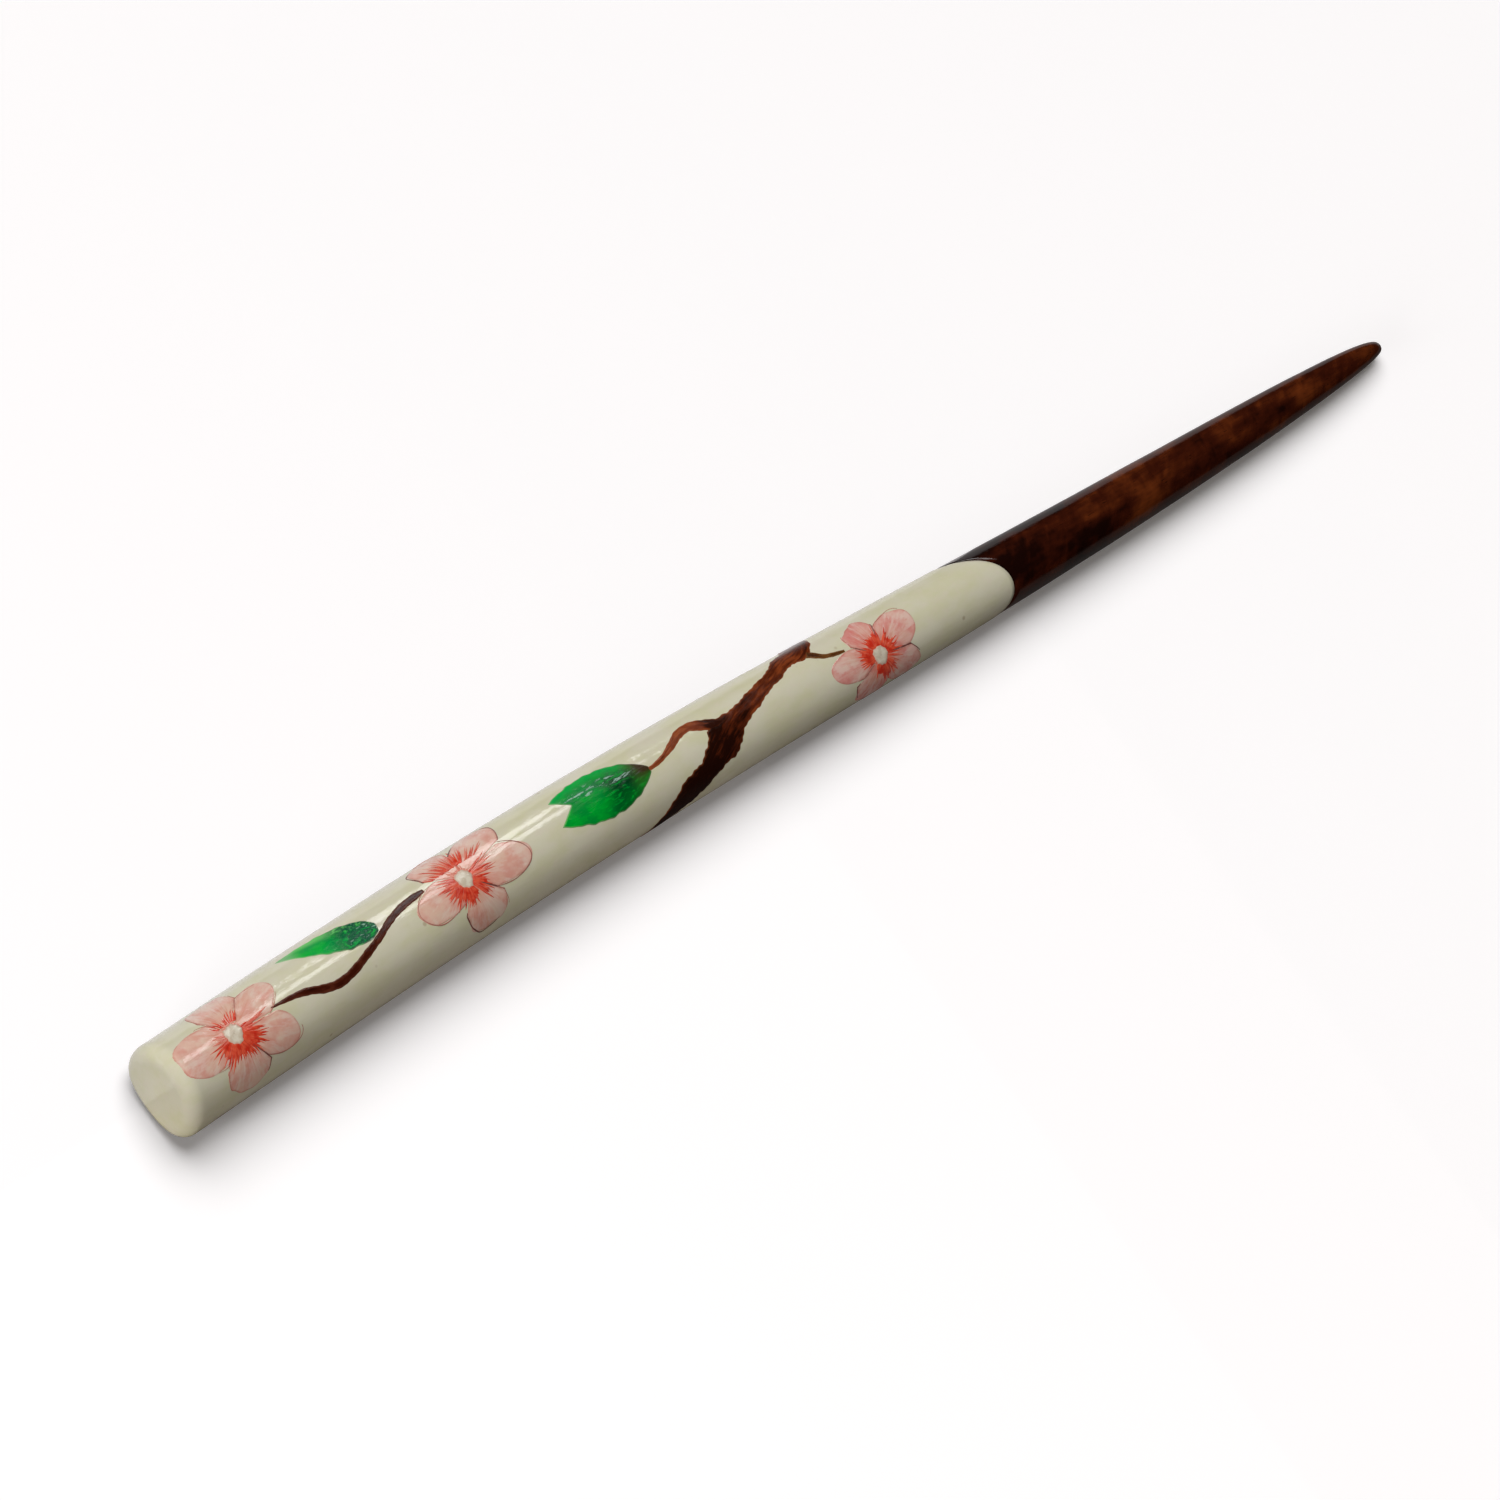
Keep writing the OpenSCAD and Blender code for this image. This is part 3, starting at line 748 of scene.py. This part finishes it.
def cloud(tree, vector, stretch, detail, rough, distortion=0.0, offset=(0, 0, 0)):
    """Noise over a vector that is first multiplied by stretch."""
    inputs = {"Vector": stretched(tree, vector, stretch, offset), "Scale": 1.0,
              "Detail": detail, "Roughness": rough, "Distortion": distortion}
    return put(tree, "TexNoise", inputs).outputs["Fac"]


def object_mm(tree):
    """The object's coordinates, in mm."""
    coordinates = put(tree, "TexCoord").outputs["Object"]
    return stretched(tree, coordinates, (1000, 1000, 1000))


def bumped(tree, height, distance, strength=1.0):
    inputs = {"Height": height, "Distance": distance * MM, "Strength": strength}
    return put(tree, "Bump", inputs).outputs["Normal"]


POOL_START, POOL_END = 3.3, 4.3     # places around the stick where pooled varnish gets full


def new_material(name, inputs):
    """A new material and its shader, with values on the shader's own sockets."""
    made = bpy.data.materials.new(name)
    made.use_nodes = True
    shader = made.node_tree.nodes["Principled BSDF"]
    for key, value in inputs.items():
        shader.inputs[key].default_value = value
    return made, shader


def material(name, build, coat_roughness=0.1, coat=1.0, pooled=False):
    """A varnished material. build(tree) gives sockets for its colour, roughness and normal.

    Pooled varnish is full where it gathered, on the side of the stick toward +Y.
    """
    made, shader = new_material(name, {"Coat Weight": coat, "Coat Roughness": coat_roughness,
                                       "Coat IOR": 1.5, "Specular IOR Level": 0.0})
    tree = made.node_tree
    colour, roughness, normal = build(tree)
    tree.links.new(colour, shader.inputs["Base Color"])
    tree.links.new(roughness, shader.inputs["Roughness"])
    tree.links.new(normal, shader.inputs["Normal"])
    tree.links.new(normal, shader.inputs["Coat Normal"])
    if pooled:
        around = parts_of(tree, read(tree, "place", "Vector"))[1]
        weight = span(tree, around, POOL_START, POOL_END, coat, 1.0)
        tree.links.new(weight, shader.inputs["Coat Weight"])
    return made


# ---- Materials ----


def cream_colour(tree):
    """Ground colour with faint yellow-green clouds and a few tiny brown specks."""
    where = object_mm(tree)
    clouds = cloud(tree, where, (0.22, 0.4, 0.4), 3, 0.6)
    fine = cloud(tree, where, (0.9, 1.4, 1.4), 4, 0.65, offset=(3, 1, 7))
    ground = blend(tree, span(tree, clouds, 0.35, 0.68), (211, 206, 182), (206, 202, 168))
    ground = blend(tree, span(tree, fine, 0.42, 0.75, 0.0, 0.45), ground, (213, 202, 183))
    cells = put(tree, "TexVoronoi", {"Vector": where, "Scale": 0.42})
    tint = put(tree, "SeparateColor", {"Color": cells.outputs["Color"]}).outputs[0]
    chosen = span(tree, tint, 0.72, 0.74, smoothly=False)
    speck = span(tree, cells.outputs["Distance"], 0.05, 0.13, 1.0, 0.0)
    speck = times(tree, times(tree, speck, chosen), 0.5)
    return blend(tree, speck, ground, (150, 126, 96))


def brushed_height(tree):
    """Uneven varnish over brush marks that run along the stick."""
    where = object_mm(tree)
    marks = cloud(tree, where, (0.3, 2.2, 2.2), 3, 0.6)
    dimples = cloud(tree, where, (0.7, 1.1, 1.1), 2, 0.5, offset=(9, 4, 2))
    return sums(tree, "ADD", times(tree, marks, 0.5), dimples)


def painted(tree, colour, strokes, roughness, relief, depth):
    """A paint's sockets, where its strokes show in the roughness and the relief."""
    height = sums(tree, "ADD", brushed_height(tree), times(tree, strokes, relief))
    return colour, span(tree, strokes, 0.3, 0.7, *roughness), bumped(tree, height, depth)


def build_cream(tree):
    where = object_mm(tree)
    roughness = span(tree, cloud(tree, where, (0.5, 0.5, 0.5), 2, 0.5), 0.3, 0.7, 0.42, 0.55)
    return cream_colour(tree), roughness, bumped(tree, brushed_height(tree), 0.03)


def build_wood(tree):
    """Dark stained wood with a mottled cross figure, fibres and pores."""
    where = object_mm(tree)
    wander = cloud(tree, where, (0.12, 0.3, 0.3), 3, 0.6, offset=(5, 2, 1))
    slanted = put(tree, "VectorRotate",
                  {"Vector": where, "Axis": (0, 0, 1), "Angle": math.radians(38)}).outputs[0]
    cross = cloud(tree, slanted, (0.6, 0.22, 0.3), 3, 0.55, 0.6)
    figure = sums(tree, "ADD", times(tree, wander, 0.7), times(tree, cross, 0.3))
    along = parts_of(tree, where)[0]
    figure = sums(tree, "ADD", figure, span(tree, along, 25, 75, -0.03, 0.06))
    fibres = cloud(tree, where, (0.35, 6, 6), 4, 0.7)
    dark = blend(tree, span(tree, figure, 0.38, 0.53), (24, 7, 4), (58, 20, 8))
    tone = blend(tree, span(tree, figure, 0.5, 0.72), dark, (104, 47, 18))
    tone = blend(tree, span(tree, fibres, 0.45, 0.8, 0.0, 0.5), tone, (34, 10, 6))
    pores = cloud(tree, where, (0.9, 9, 9), 1, 0.4, offset=(2, 2, 2))
    pore = span(tree, pores, 0.68, 0.76, 0.0, 0.7)
    tone = blend(tree, pore, tone, (14, 5, 4))
    roughness = span(tree, fibres, 0.3, 0.7, 0.38, 0.55)
    height = sums(tree, "ADD", times(tree, fibres, 0.35), times(tree, wander, 0.8))
    return tone, roughness, bumped(tree, height, 0.03)


def build_petal(tree, light=(228, 172, 158), deep=(217, 146, 133), cover=(0.62, 0.85)):
    """Thin peach wash over the cream, with pale streaks and a broken, slightly darker outline."""
    ray, place = ray_and_place(tree)
    parts = parts_of(tree, ray)
    reach, edge = read(tree, "reach"), read(tree, "edge")
    pool = cloud(tree, place, (0.5, 0.5, 1), 3, 0.6)
    streaks = cloud(tree, ray, (6, 0.4, 3.1), 4, 0.65)
    thin = cloud(tree, ray, (15, 0.3, 5.3), 3, 0.6, offset=(4, 0, 0))
    wash = blend(tree, span(tree, pool, 0.35, 0.65), light, deep)
    pale = times(tree, span(tree, streaks, 0.45, 0.62), span(tree, reach, 0.15, 0.55))
    wash = blend(tree, times(tree, pale, 0.55), wash, (230, 206, 194))
    fades = span(tree, parts[1], 1.4, 5.2, 1.0, 0.12)
    red = times(tree, span(tree, thin, 0.46, 0.66), fades)
    wash = blend(tree, times(tree, red, 0.65), wash, (204, 96, 74))
    soft = span(tree, parts[1], 0.9, 3.6, 0.5, 0.0)
    wash = blend(tree, soft, wash, (214, 112, 88))
    colour = blend(tree, span(tree, pool, 0.3, 0.7, *cover), cream_colour(tree), wash)
    gaps = cloud(tree, place, (0.9, 0.9, 1), 3, 0.7, offset=(2, 5, 0))
    line = times(tree, span(tree, edge, 0.05, 0.32, 1.0, 0.0),
                 span(tree, gaps, 0.36, 0.6, 0.12, 0.7))
    colour = blend(tree, line, colour, (190, 118, 104))
    return painted(tree, colour, streaks, (0.4, 0.55), 0.5, 0.03)


def build_pink_petal(tree):
    return build_petal(tree, (222, 158, 150), (212, 126, 120), (0.72, 0.95))


def build_flare(tree):
    """Vermilion, thinner and pinker where the brush was drier, and the brown outline strokes."""
    ray, place = ray_and_place(tree)
    strength = read(tree, "strength")
    fibres = cloud(tree, ray, (14, 0.5, 2.3), 3, 0.6)
    patchy = cloud(tree, place, (1.5, 1.5, 1), 2, 0.5)
    red = blend(tree, span(tree, patchy, 0.35, 0.65), (205, 48, 30), (226, 90, 62))
    red = blend(tree, span(tree, fibres, 0.5, 0.66, 0.0, 0.55), red, (176, 44, 28))
    pink = blend(tree, span(tree, fibres, 0.35, 0.65), (220, 150, 130), (206, 104, 84))
    power = times(tree, strength, span(tree, fibres, 0.25, 0.6, 0.7, 1.15))
    distance = parts_of(tree, ray)[1]
    power = times(tree, power, span(tree, distance, 1.0, 5.0, 1.1, 0.75))
    colour = blend(tree, span(tree, power, 0.2, 0.9), pink, red)
    brown = blend(tree, span(tree, strength, -0.9, -0.3), (116, 72, 66), (190, 128, 114))
    colour = blend(tree, span(tree, strength, -0.15, -0.05, 1.0, 0.0), colour, brown)
    return painted(tree, colour, fibres, (0.38, 0.5), 0.6, 0.03)


def build_centre(tree):
    """Thick cream dab with a faint grey and pink touch at its rim."""
    place, edge = read(tree, "place", "Vector"), read(tree, "edge")
    dabs = cloud(tree, place, (1.6, 1.6, 1), 3, 0.6)
    colour = blend(tree, span(tree, dabs, 0.38, 0.62), (218, 208, 188), (202, 188, 166))
    rim = span(tree, edge, 0.0, 0.45, 0.7, 0.0)
    colour = blend(tree, rim, colour, (200, 138, 118))
    return colour, span(tree, dabs, 0.3, 0.7, 0.4, 0.55), bumped(tree, dabs, 0.06)


def leaf_base(tree, bright, deep, lime, lit):
    """Bright to deep green in clouds, with a soft lime band where lit is 1."""
    place = read(tree, "place", "Vector")
    pool = cloud(tree, place, (0.5, 0.8, 1), 3, 0.6, offset=(3, 3, 0))
    colour = blend(tree, span(tree, pool, 0.38, 0.62), bright, deep)
    light = times(tree, lit, span(tree, pool, 0.3, 0.6, 0.7, 1.0))
    return blend(tree, light, colour, lime)


def leaf_finish(tree, colour, strokes, edge):
    rim = span(tree, edge, 0.0, 0.2, 0.35, 0.0)
    colour = blend(tree, rim, colour, cream_colour(tree))
    return painted(tree, colour, strokes, (0.35, 0.55), 1.4, 0.05)


def build_leaf_small(tree):
    """Fades from a pale tip and a soft lime side to deep teal scratches at the stem."""
    ray, place = ray_and_place(tree)
    parts = parts_of(tree, ray)
    edge = read(tree, "edge")
    strokes = cloud(tree, place, (1.1, 2.6, 1), 4, 0.7, 0.4)
    colour = leaf_base(tree, (10, 172, 58), (0, 154, 64), (112, 202, 108),
                       span(tree, parts[1], 0.1, 0.9))
    pale_tip = span(tree, parts[0], 0.08, 0.27, 0.75, 0.0)
    colour = blend(tree, pale_tip, colour, (140, 190, 136))
    dark = times(tree, span(tree, strokes, 0.36, 0.52), span(tree, parts[0], 0.42, 0.72))
    colour = blend(tree, dark, colour, (0, 78, 50))
    flecks = times(tree, span(tree, strokes, 0.57, 0.65),
                   span(tree, parts[0], 0.55, 0.8, 0.0, 0.75))
    colour = blend(tree, flecks, colour, (150, 196, 168))
    return leaf_finish(tree, colour, strokes, edge)


def build_leaf_large(tree):
    """Two bright lobes, dark strokes toward the stem and a brown stem end.

    Pale flecks across its middle are a painted highlight, where the streak of reflected light
    crosses the leaf.
    """
    ray, place = ray_and_place(tree)
    parts = parts_of(tree, ray)
    edge = read(tree, "edge")
    strokes = cloud(tree, place, (0.8, 3.0, 1), 4, 0.7, 0.4, offset=(0, 7, 0))
    colour = leaf_base(tree, (0, 162, 46), (0, 140, 48), (0, 170, 76),
                       span(tree, parts[1], 0.55, 0.95, 0.0, 0.7))
    middle = span(tree, sums(tree, "ABSOLUTE", sums(tree, "SUBTRACT", parts[1], 0.28)),
                  0.05, 0.4, 1.0, 0.0)
    lines = times(tree, middle, span(tree, strokes, 0.4, 0.6, 0.15, 0.75))
    colour = blend(tree, lines, colour, (0, 96, 62))
    low = span(tree, parts[1], -0.75, 0.1, 1.0, 0.0)
    near = times(tree, span(tree, parts[0], 0.3, 0.58), span(tree, parts[0], 0.7, 0.92, 1.0, 0.4))
    near = times(tree, near, span(tree, parts[1], 0.1, 0.75, 1.0, 0.12))
    shade = times(tree, times(tree, near, span(tree, strokes, 0.34, 0.5)),
                  sums(tree, "SUBTRACT", 1.0, times(tree, low, 0.3)))
    colour = blend(tree, shade, colour, (0, 52, 22))
    # Painted highlight: pale flecks along the middle band, where the streak of reflected light
    # crosses the scratchy paint
    flecks = times(tree, span(tree, strokes, 0.55, 0.62), middle)
    colour = blend(tree, times(tree, flecks, 0.8), colour, (166, 204, 184))
    stem = times(tree, span(tree, parts[0], 0.68, 0.9), span(tree, parts[1], -0.9, 0.2, 0.3, 1.0))
    colour = blend(tree, stem, colour, (58, 42, 20))
    return leaf_finish(tree, colour, strokes, edge)


def build_bark(dark, middle, light, red_rim, tone_and_shade_stretch=None):
    """Brown strokes with lengthwise bristle marks and a thinner, redder rim.

    The last argument, when given, is [from, to, start, end]: over that stretch of the stroke, in mm
    along it, the tone is darkened by an amount that goes from start to end. On the bough this
    darkening is partly painted shade.
    """
    def build(tree):
        ray, place = ray_and_place(tree)
        edge = read(tree, "edge")
        bristles = cloud(tree, ray, (0.4, 3.4, 1.7), 4, 0.7, 0.3)
        pool = cloud(tree, place, (0.35, 0.6, 1), 2, 0.5)
        tone = sums(tree, "ADD", times(tree, bristles, 0.6), times(tree, pool, 0.4))
        if tone_and_shade_stretch:
            along = parts_of(tree, ray)[0]
            tone = sums(tree, "SUBTRACT", tone, span(tree, along, *tone_and_shade_stretch))
        colour = blend(tree, span(tree, tone, 0.36, 0.5), dark, middle)
        colour = blend(tree, span(tree, tone, 0.5, 0.64), colour, light)
        rim = times(tree, span(tree, edge, 0.02, 0.26, 0.75, 0.0),
                    span(tree, tone, 0.25, 0.5, 0.35, 1.0))
        colour = blend(tree, rim, colour, red_rim)
        return painted(tree, colour, bristles, (0.35, 0.5), 1.0, 0.04)
    return build


# Share of the varnish's gloss on the thick paints
LEAF_COAT = 0.35
BARK_COAT = 0.2
TWIG_COAT = 0.5

materials = {
    "cream": material("cream_ground", build_cream),
    "wood": material("stained_wood", build_wood, coat_roughness=0.09),
    "petal": material("petal_wash", build_petal),
    "pink_petal": material("petal_pink_wash", build_pink_petal),
    "flare": material("vermilion", build_flare),
    "centre": material("cream_dab", build_centre),
    "leaf_small": material("leaf_small_green", build_leaf_small, coat=LEAF_COAT),
    "leaf_large": material("leaf_large_green", build_leaf_large, coat=LEAF_COAT),
    # The bough's tone is darkened along its first stretch, which runs down the shaded side toward
    # -Y, and lightened a little toward its +Y end: partly its own darker paint, partly painted
    # shade
    "bough": material("bough_brown", build_bark(
        (34, 12, 6), (78, 30, 13), (126, 58, 27), (142, 72, 38), (10.0, 22.0, 0.17, -0.03)),
        coat=BARK_COAT, pooled=True),
    "twig_long": material("twig_dark", build_bark(
        (38, 10, 5), (62, 20, 10), (92, 42, 26), (100, 54, 38)), coat=TWIG_COAT),
    "twig_short": material("twig_red", build_bark(
        (44, 16, 8), (112, 48, 22), (148, 76, 42), (152, 82, 50), (7.6, 10.6, -0.03, 0.2)),
        coat=BARK_COAT),
    "twig_tip": material("twig_olive", build_bark(
        (44, 20, 8), (76, 40, 16), (108, 68, 32), (128, 86, 44)), coat=BARK_COAT),
}

# ---- Pieces ----


def finish_piece(piece, node, look):
    """Gives a piece its material and lets it stand for its CAD node on the stick's body."""
    piece.data.materials.append(materials[look])
    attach(piece, "root")
    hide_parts(node)


finish_piece(make_wood_shaft(), "wood_shaft", "wood")
finish_piece(make_cream_coat(), "cream_coat", "cream")
for index, (flower, parts) in enumerate(BLOSSOMS.items()):
    for number in range(5):
        petal_name = f"{flower}_petal_{number + 1}"
        petal_seed = 5 * index + number + 1
        finish_piece(make_petal(petal_name + "_wash", parts, number, petal_seed), petal_name,
                     "pink_petal" if flower == "blossom_3" else "petal")
    finish_piece(make_flare(flower + "_strokes", parts, FLARES[flower],
                           OUTLINES[flower], index + 1),
                 flower + "_flare", "flare")
    finish_piece(make_centre(flower + "_dab", parts, index + 1),
                 flower + "_centre", "centre")
finish_piece(make_leaf_small("leaf_small_paint"), "leaf_small", "leaf_small")
finish_piece(make_leaf_large("leaf_large_paint"), "leaf_large", "leaf_large")
for index, (stroke_name, stroke_path) in enumerate(STROKES.items()):
    stations, columns = (300, 26) if stroke_name == "bough" else (160, 14)
    finish_piece(make_stroke(stroke_name + "_paint", stroke_path, stations, columns, index + 1),
                 stroke_name, stroke_name)

# ---- Floor, light and camera ----

FLOOR_TONE = srgb(253, 251, 252)
FLOOR_GLOW = 0.08       # share of the floor's brightness that shadows don't take away
SHADE_TINT = (1.05, 0.97, 0.89, 1.0)
PLAIN_TINT = (1.0, 1.0, 1.0, 1.0)
KEY_LIGHT = 0.86        # brightness that the key light gives a white surface that faces it
KEY_TOWARD = Vector((0.0, 0.48, 0.877))
KEY_SPREAD = math.radians(54)
HEAD_FILL = 3.9         # watts of the soft box that lights the flat end
HEAD_FILL_PLACE = (-0.95, -0.05, 0.2)
HEAD_FILL_SIZE = (0.5, 0.3)
ROOM = 3.0              # reach of the floor and the cards from the middle, in m
FLOOR_SHARE = 0.95      # share of the key's light that the visible floor gives back
FLOOR_DROP = 0.00002    # how far the visible floor lies under the cards, in m
GREY_END = -0.008       # x in the frame where the floor's bounce gets dimmer
WOOD_START = 0.03       # x in the frame where the floor next to the bare wood starts

# Hidden cards, as name, [low x, high x], [low y, high y], brightness, glow and whether they are
# for the gloss. They stand for the floor in the stick's shading and gloss, and are darker on the
# shadow's side and beside the bare wood, which throws less light on the floor than the coat does.
CARDS = [
    ("white_bounce", [-ROOM, ROOM], [0.0, ROOM], 0.15, 0.02, False),
    ("grey_bounce", [-ROOM, GREY_END], [-ROOM, 0.0], 0.56, 0.04, False),
    ("dim_bounce", [GREY_END, WOOD_START], [-ROOM, 0.0], 0.36, 0.03, False),
    ("dark_bounce", [WOOD_START, ROOM], [-ROOM, 0.0], 0.16, 0.02, False),
    ("white_gloss", [-ROOM, WOOD_START], [0.0, ROOM], 0.78, 0.08, True),
    ("dim_gloss", [WOOD_START, ROOM], [0.0, ROOM], 0.3, 0.04, True),
    ("dark_gloss", [-ROOM, WOOD_START], [-ROOM, 0.0], 0.09, 0.02, True),
    ("wood_gloss", [WOOD_START, ROOM], [-ROOM, 0.0], 0.07, 0.018, True),
]

# Soft boxes, as name, the spot on the stick that mirrors them, turn around it in degrees, length,
# width and brightness. From its spot each one is away along +X, and the rest of the way is turned
# from straight up toward +Y.
WINDOW_DISTANCE = 0.5
WINDOW_ALONG, WINDOW_AWAY = 0.56, 0.83
WINDOWS = [
    ("window_near", (-0.0745, 0, 0.008), 27, 0.042, 0.2, 6.4),
    ("window_middle", (-0.0565, 0.001, 0.0078), 58, 0.019, 0.12, 6.0),
    ("window_far", (-0.0325, 0.002, 0.0074), 50, 0.05, 0.12, 6.4),
]


def add_sheet(name, along, across, height, tone, glow, tint):
    """Level matt sheet under the stick, over a range of x and a range of y."""
    mesh = bpy.data.meshes.new(name)
    corners = [(along[0], across[0]), (along[1], across[0]), (along[1], across[1]),
               (along[0], across[1])]
    mesh.from_pydata([(x, y, height) for x, y in corners], [], [(0, 1, 2, 3)])
    sheet = add_object(name, mesh)
    colour = [c * tone * t for c, t in zip(FLOOR_TONE, tint)]
    mesh.materials.append(new_material(name, {
        "Base Color": colour, "Roughness": 1.0, "Specular IOR Level": 0.0,
        "Emission Color": SHADE_TINT, "Emission Strength": glow})[0])
    sheet.visible_shadow = False
    return sheet


def make_floor():
    """A white floor for the eye, and under the stick hidden cards for its bounce and gloss."""
    lit = KEY_LIGHT * KEY_TOWARD.normalized().z
    floor = add_sheet("floor", [-ROOM, ROOM], [-ROOM, ROOM], -FLOOR_DROP,
                      FLOOR_SHARE * (1 - FLOOR_GLOW) / lit, FLOOR_GLOW, PLAIN_TINT)
    floor.visible_diffuse = False
    floor.visible_glossy = False
    for name, along, across, tone, glow, for_gloss in CARDS:
        tint = SHADE_TINT if across[1] == 0 else PLAIN_TINT
        card = add_sheet(name, along, across, 0.0, tone / lit, glow, tint)
        card.visible_camera = False
        card.visible_diffuse = not for_gloss
        card.visible_glossy = for_gloss


STICK_MIDDLE = (0, 0, 0.004)


def add_light(name, kind, place, toward=STICK_MIDDLE, **settings):
    light = bpy.data.lights.new(name, kind)
    for key, value in settings.items():
        setattr(light, key, value)
    lamp = add_object(name, light)
    lamp.visible_camera = False
    lamp.location = place
    lamp.rotation_mode = "QUATERNION"
    lamp.rotation_quaternion = (Vector(place) - Vector(toward)).to_track_quat("Z", "Y")
    return lamp


def make_lights():
    key = add_light("key", "SUN", KEY_TOWARD, (0, 0, 0), energy=KEY_LIGHT * math.pi,
                    angle=KEY_SPREAD)
    key.visible_glossy = False
    head_fill = add_light("head_fill", "AREA", HEAD_FILL_PLACE, shape="RECTANGLE",
                          size=HEAD_FILL_SIZE[0], size_y=HEAD_FILL_SIZE[1], energy=HEAD_FILL)
    head_fill.visible_glossy = False
    world = bpy.data.worlds.new("studio")
    world.use_nodes = True
    world.node_tree.nodes["Background"].inputs["Color"].default_value = FLOOR_TONE
    bpy.context.scene.world = world
    world.cycles_visibility.diffuse = False
    world.cycles_visibility.glossy = False


def make_windows():
    """Small soft boxes beyond the stick, whose reflections make the streak beside its ridge."""
    for name, spot, turn, length, width, power in WINDOWS:
        spot = Vector(spot)
        lean = math.radians(turn)
        out = Vector((WINDOW_ALONG, WINDOW_AWAY * math.sin(lean), WINDOW_AWAY * math.cos(lean)))
        place = spot + out * WINDOW_DISTANCE
        light = add_light(name, "AREA", place, spot, shape="RECTANGLE", size=length,
                          size_y=width, energy=power * math.pi * length * width)
        light.visible_diffuse = False


LENS, SENSOR_WIDTH = 181.9, 36.0
CAMERA_DISTANCE = 0.75
CAMERA_SIDE = (-0.61, -0.12)        # x and y of the direction from the stick's middle
CAMERA_TARGET = (-0.0116, -0.00221, 0.004)
CAMERA_ROLL = math.radians(44.24)


def make_camera():
    data = bpy.data.cameras.new("camera")
    data.lens = LENS
    data.sensor_width = SENSOR_WIDTH
    data.clip_start, data.clip_end = 0.01, 20.0
    camera = add_object("camera", data)
    x, y = CAMERA_SIDE
    direction = Vector((x, y, math.sqrt(1 - x * x - y * y)))
    camera.location = Vector(STICK_MIDDLE) + direction * CAMERA_DISTANCE
    back = (camera.location - Vector(CAMERA_TARGET)).normalized()
    camera.rotation_mode = "QUATERNION"
    camera.rotation_quaternion = (back.to_track_quat("Z", "Y")
                                  @ Quaternion((0, 0, 1), CAMERA_ROLL))
    bpy.context.scene.camera = camera


make_floor()
make_lights()
make_windows()
make_camera()
bpy.context.scene.view_settings.view_transform = "Standard"
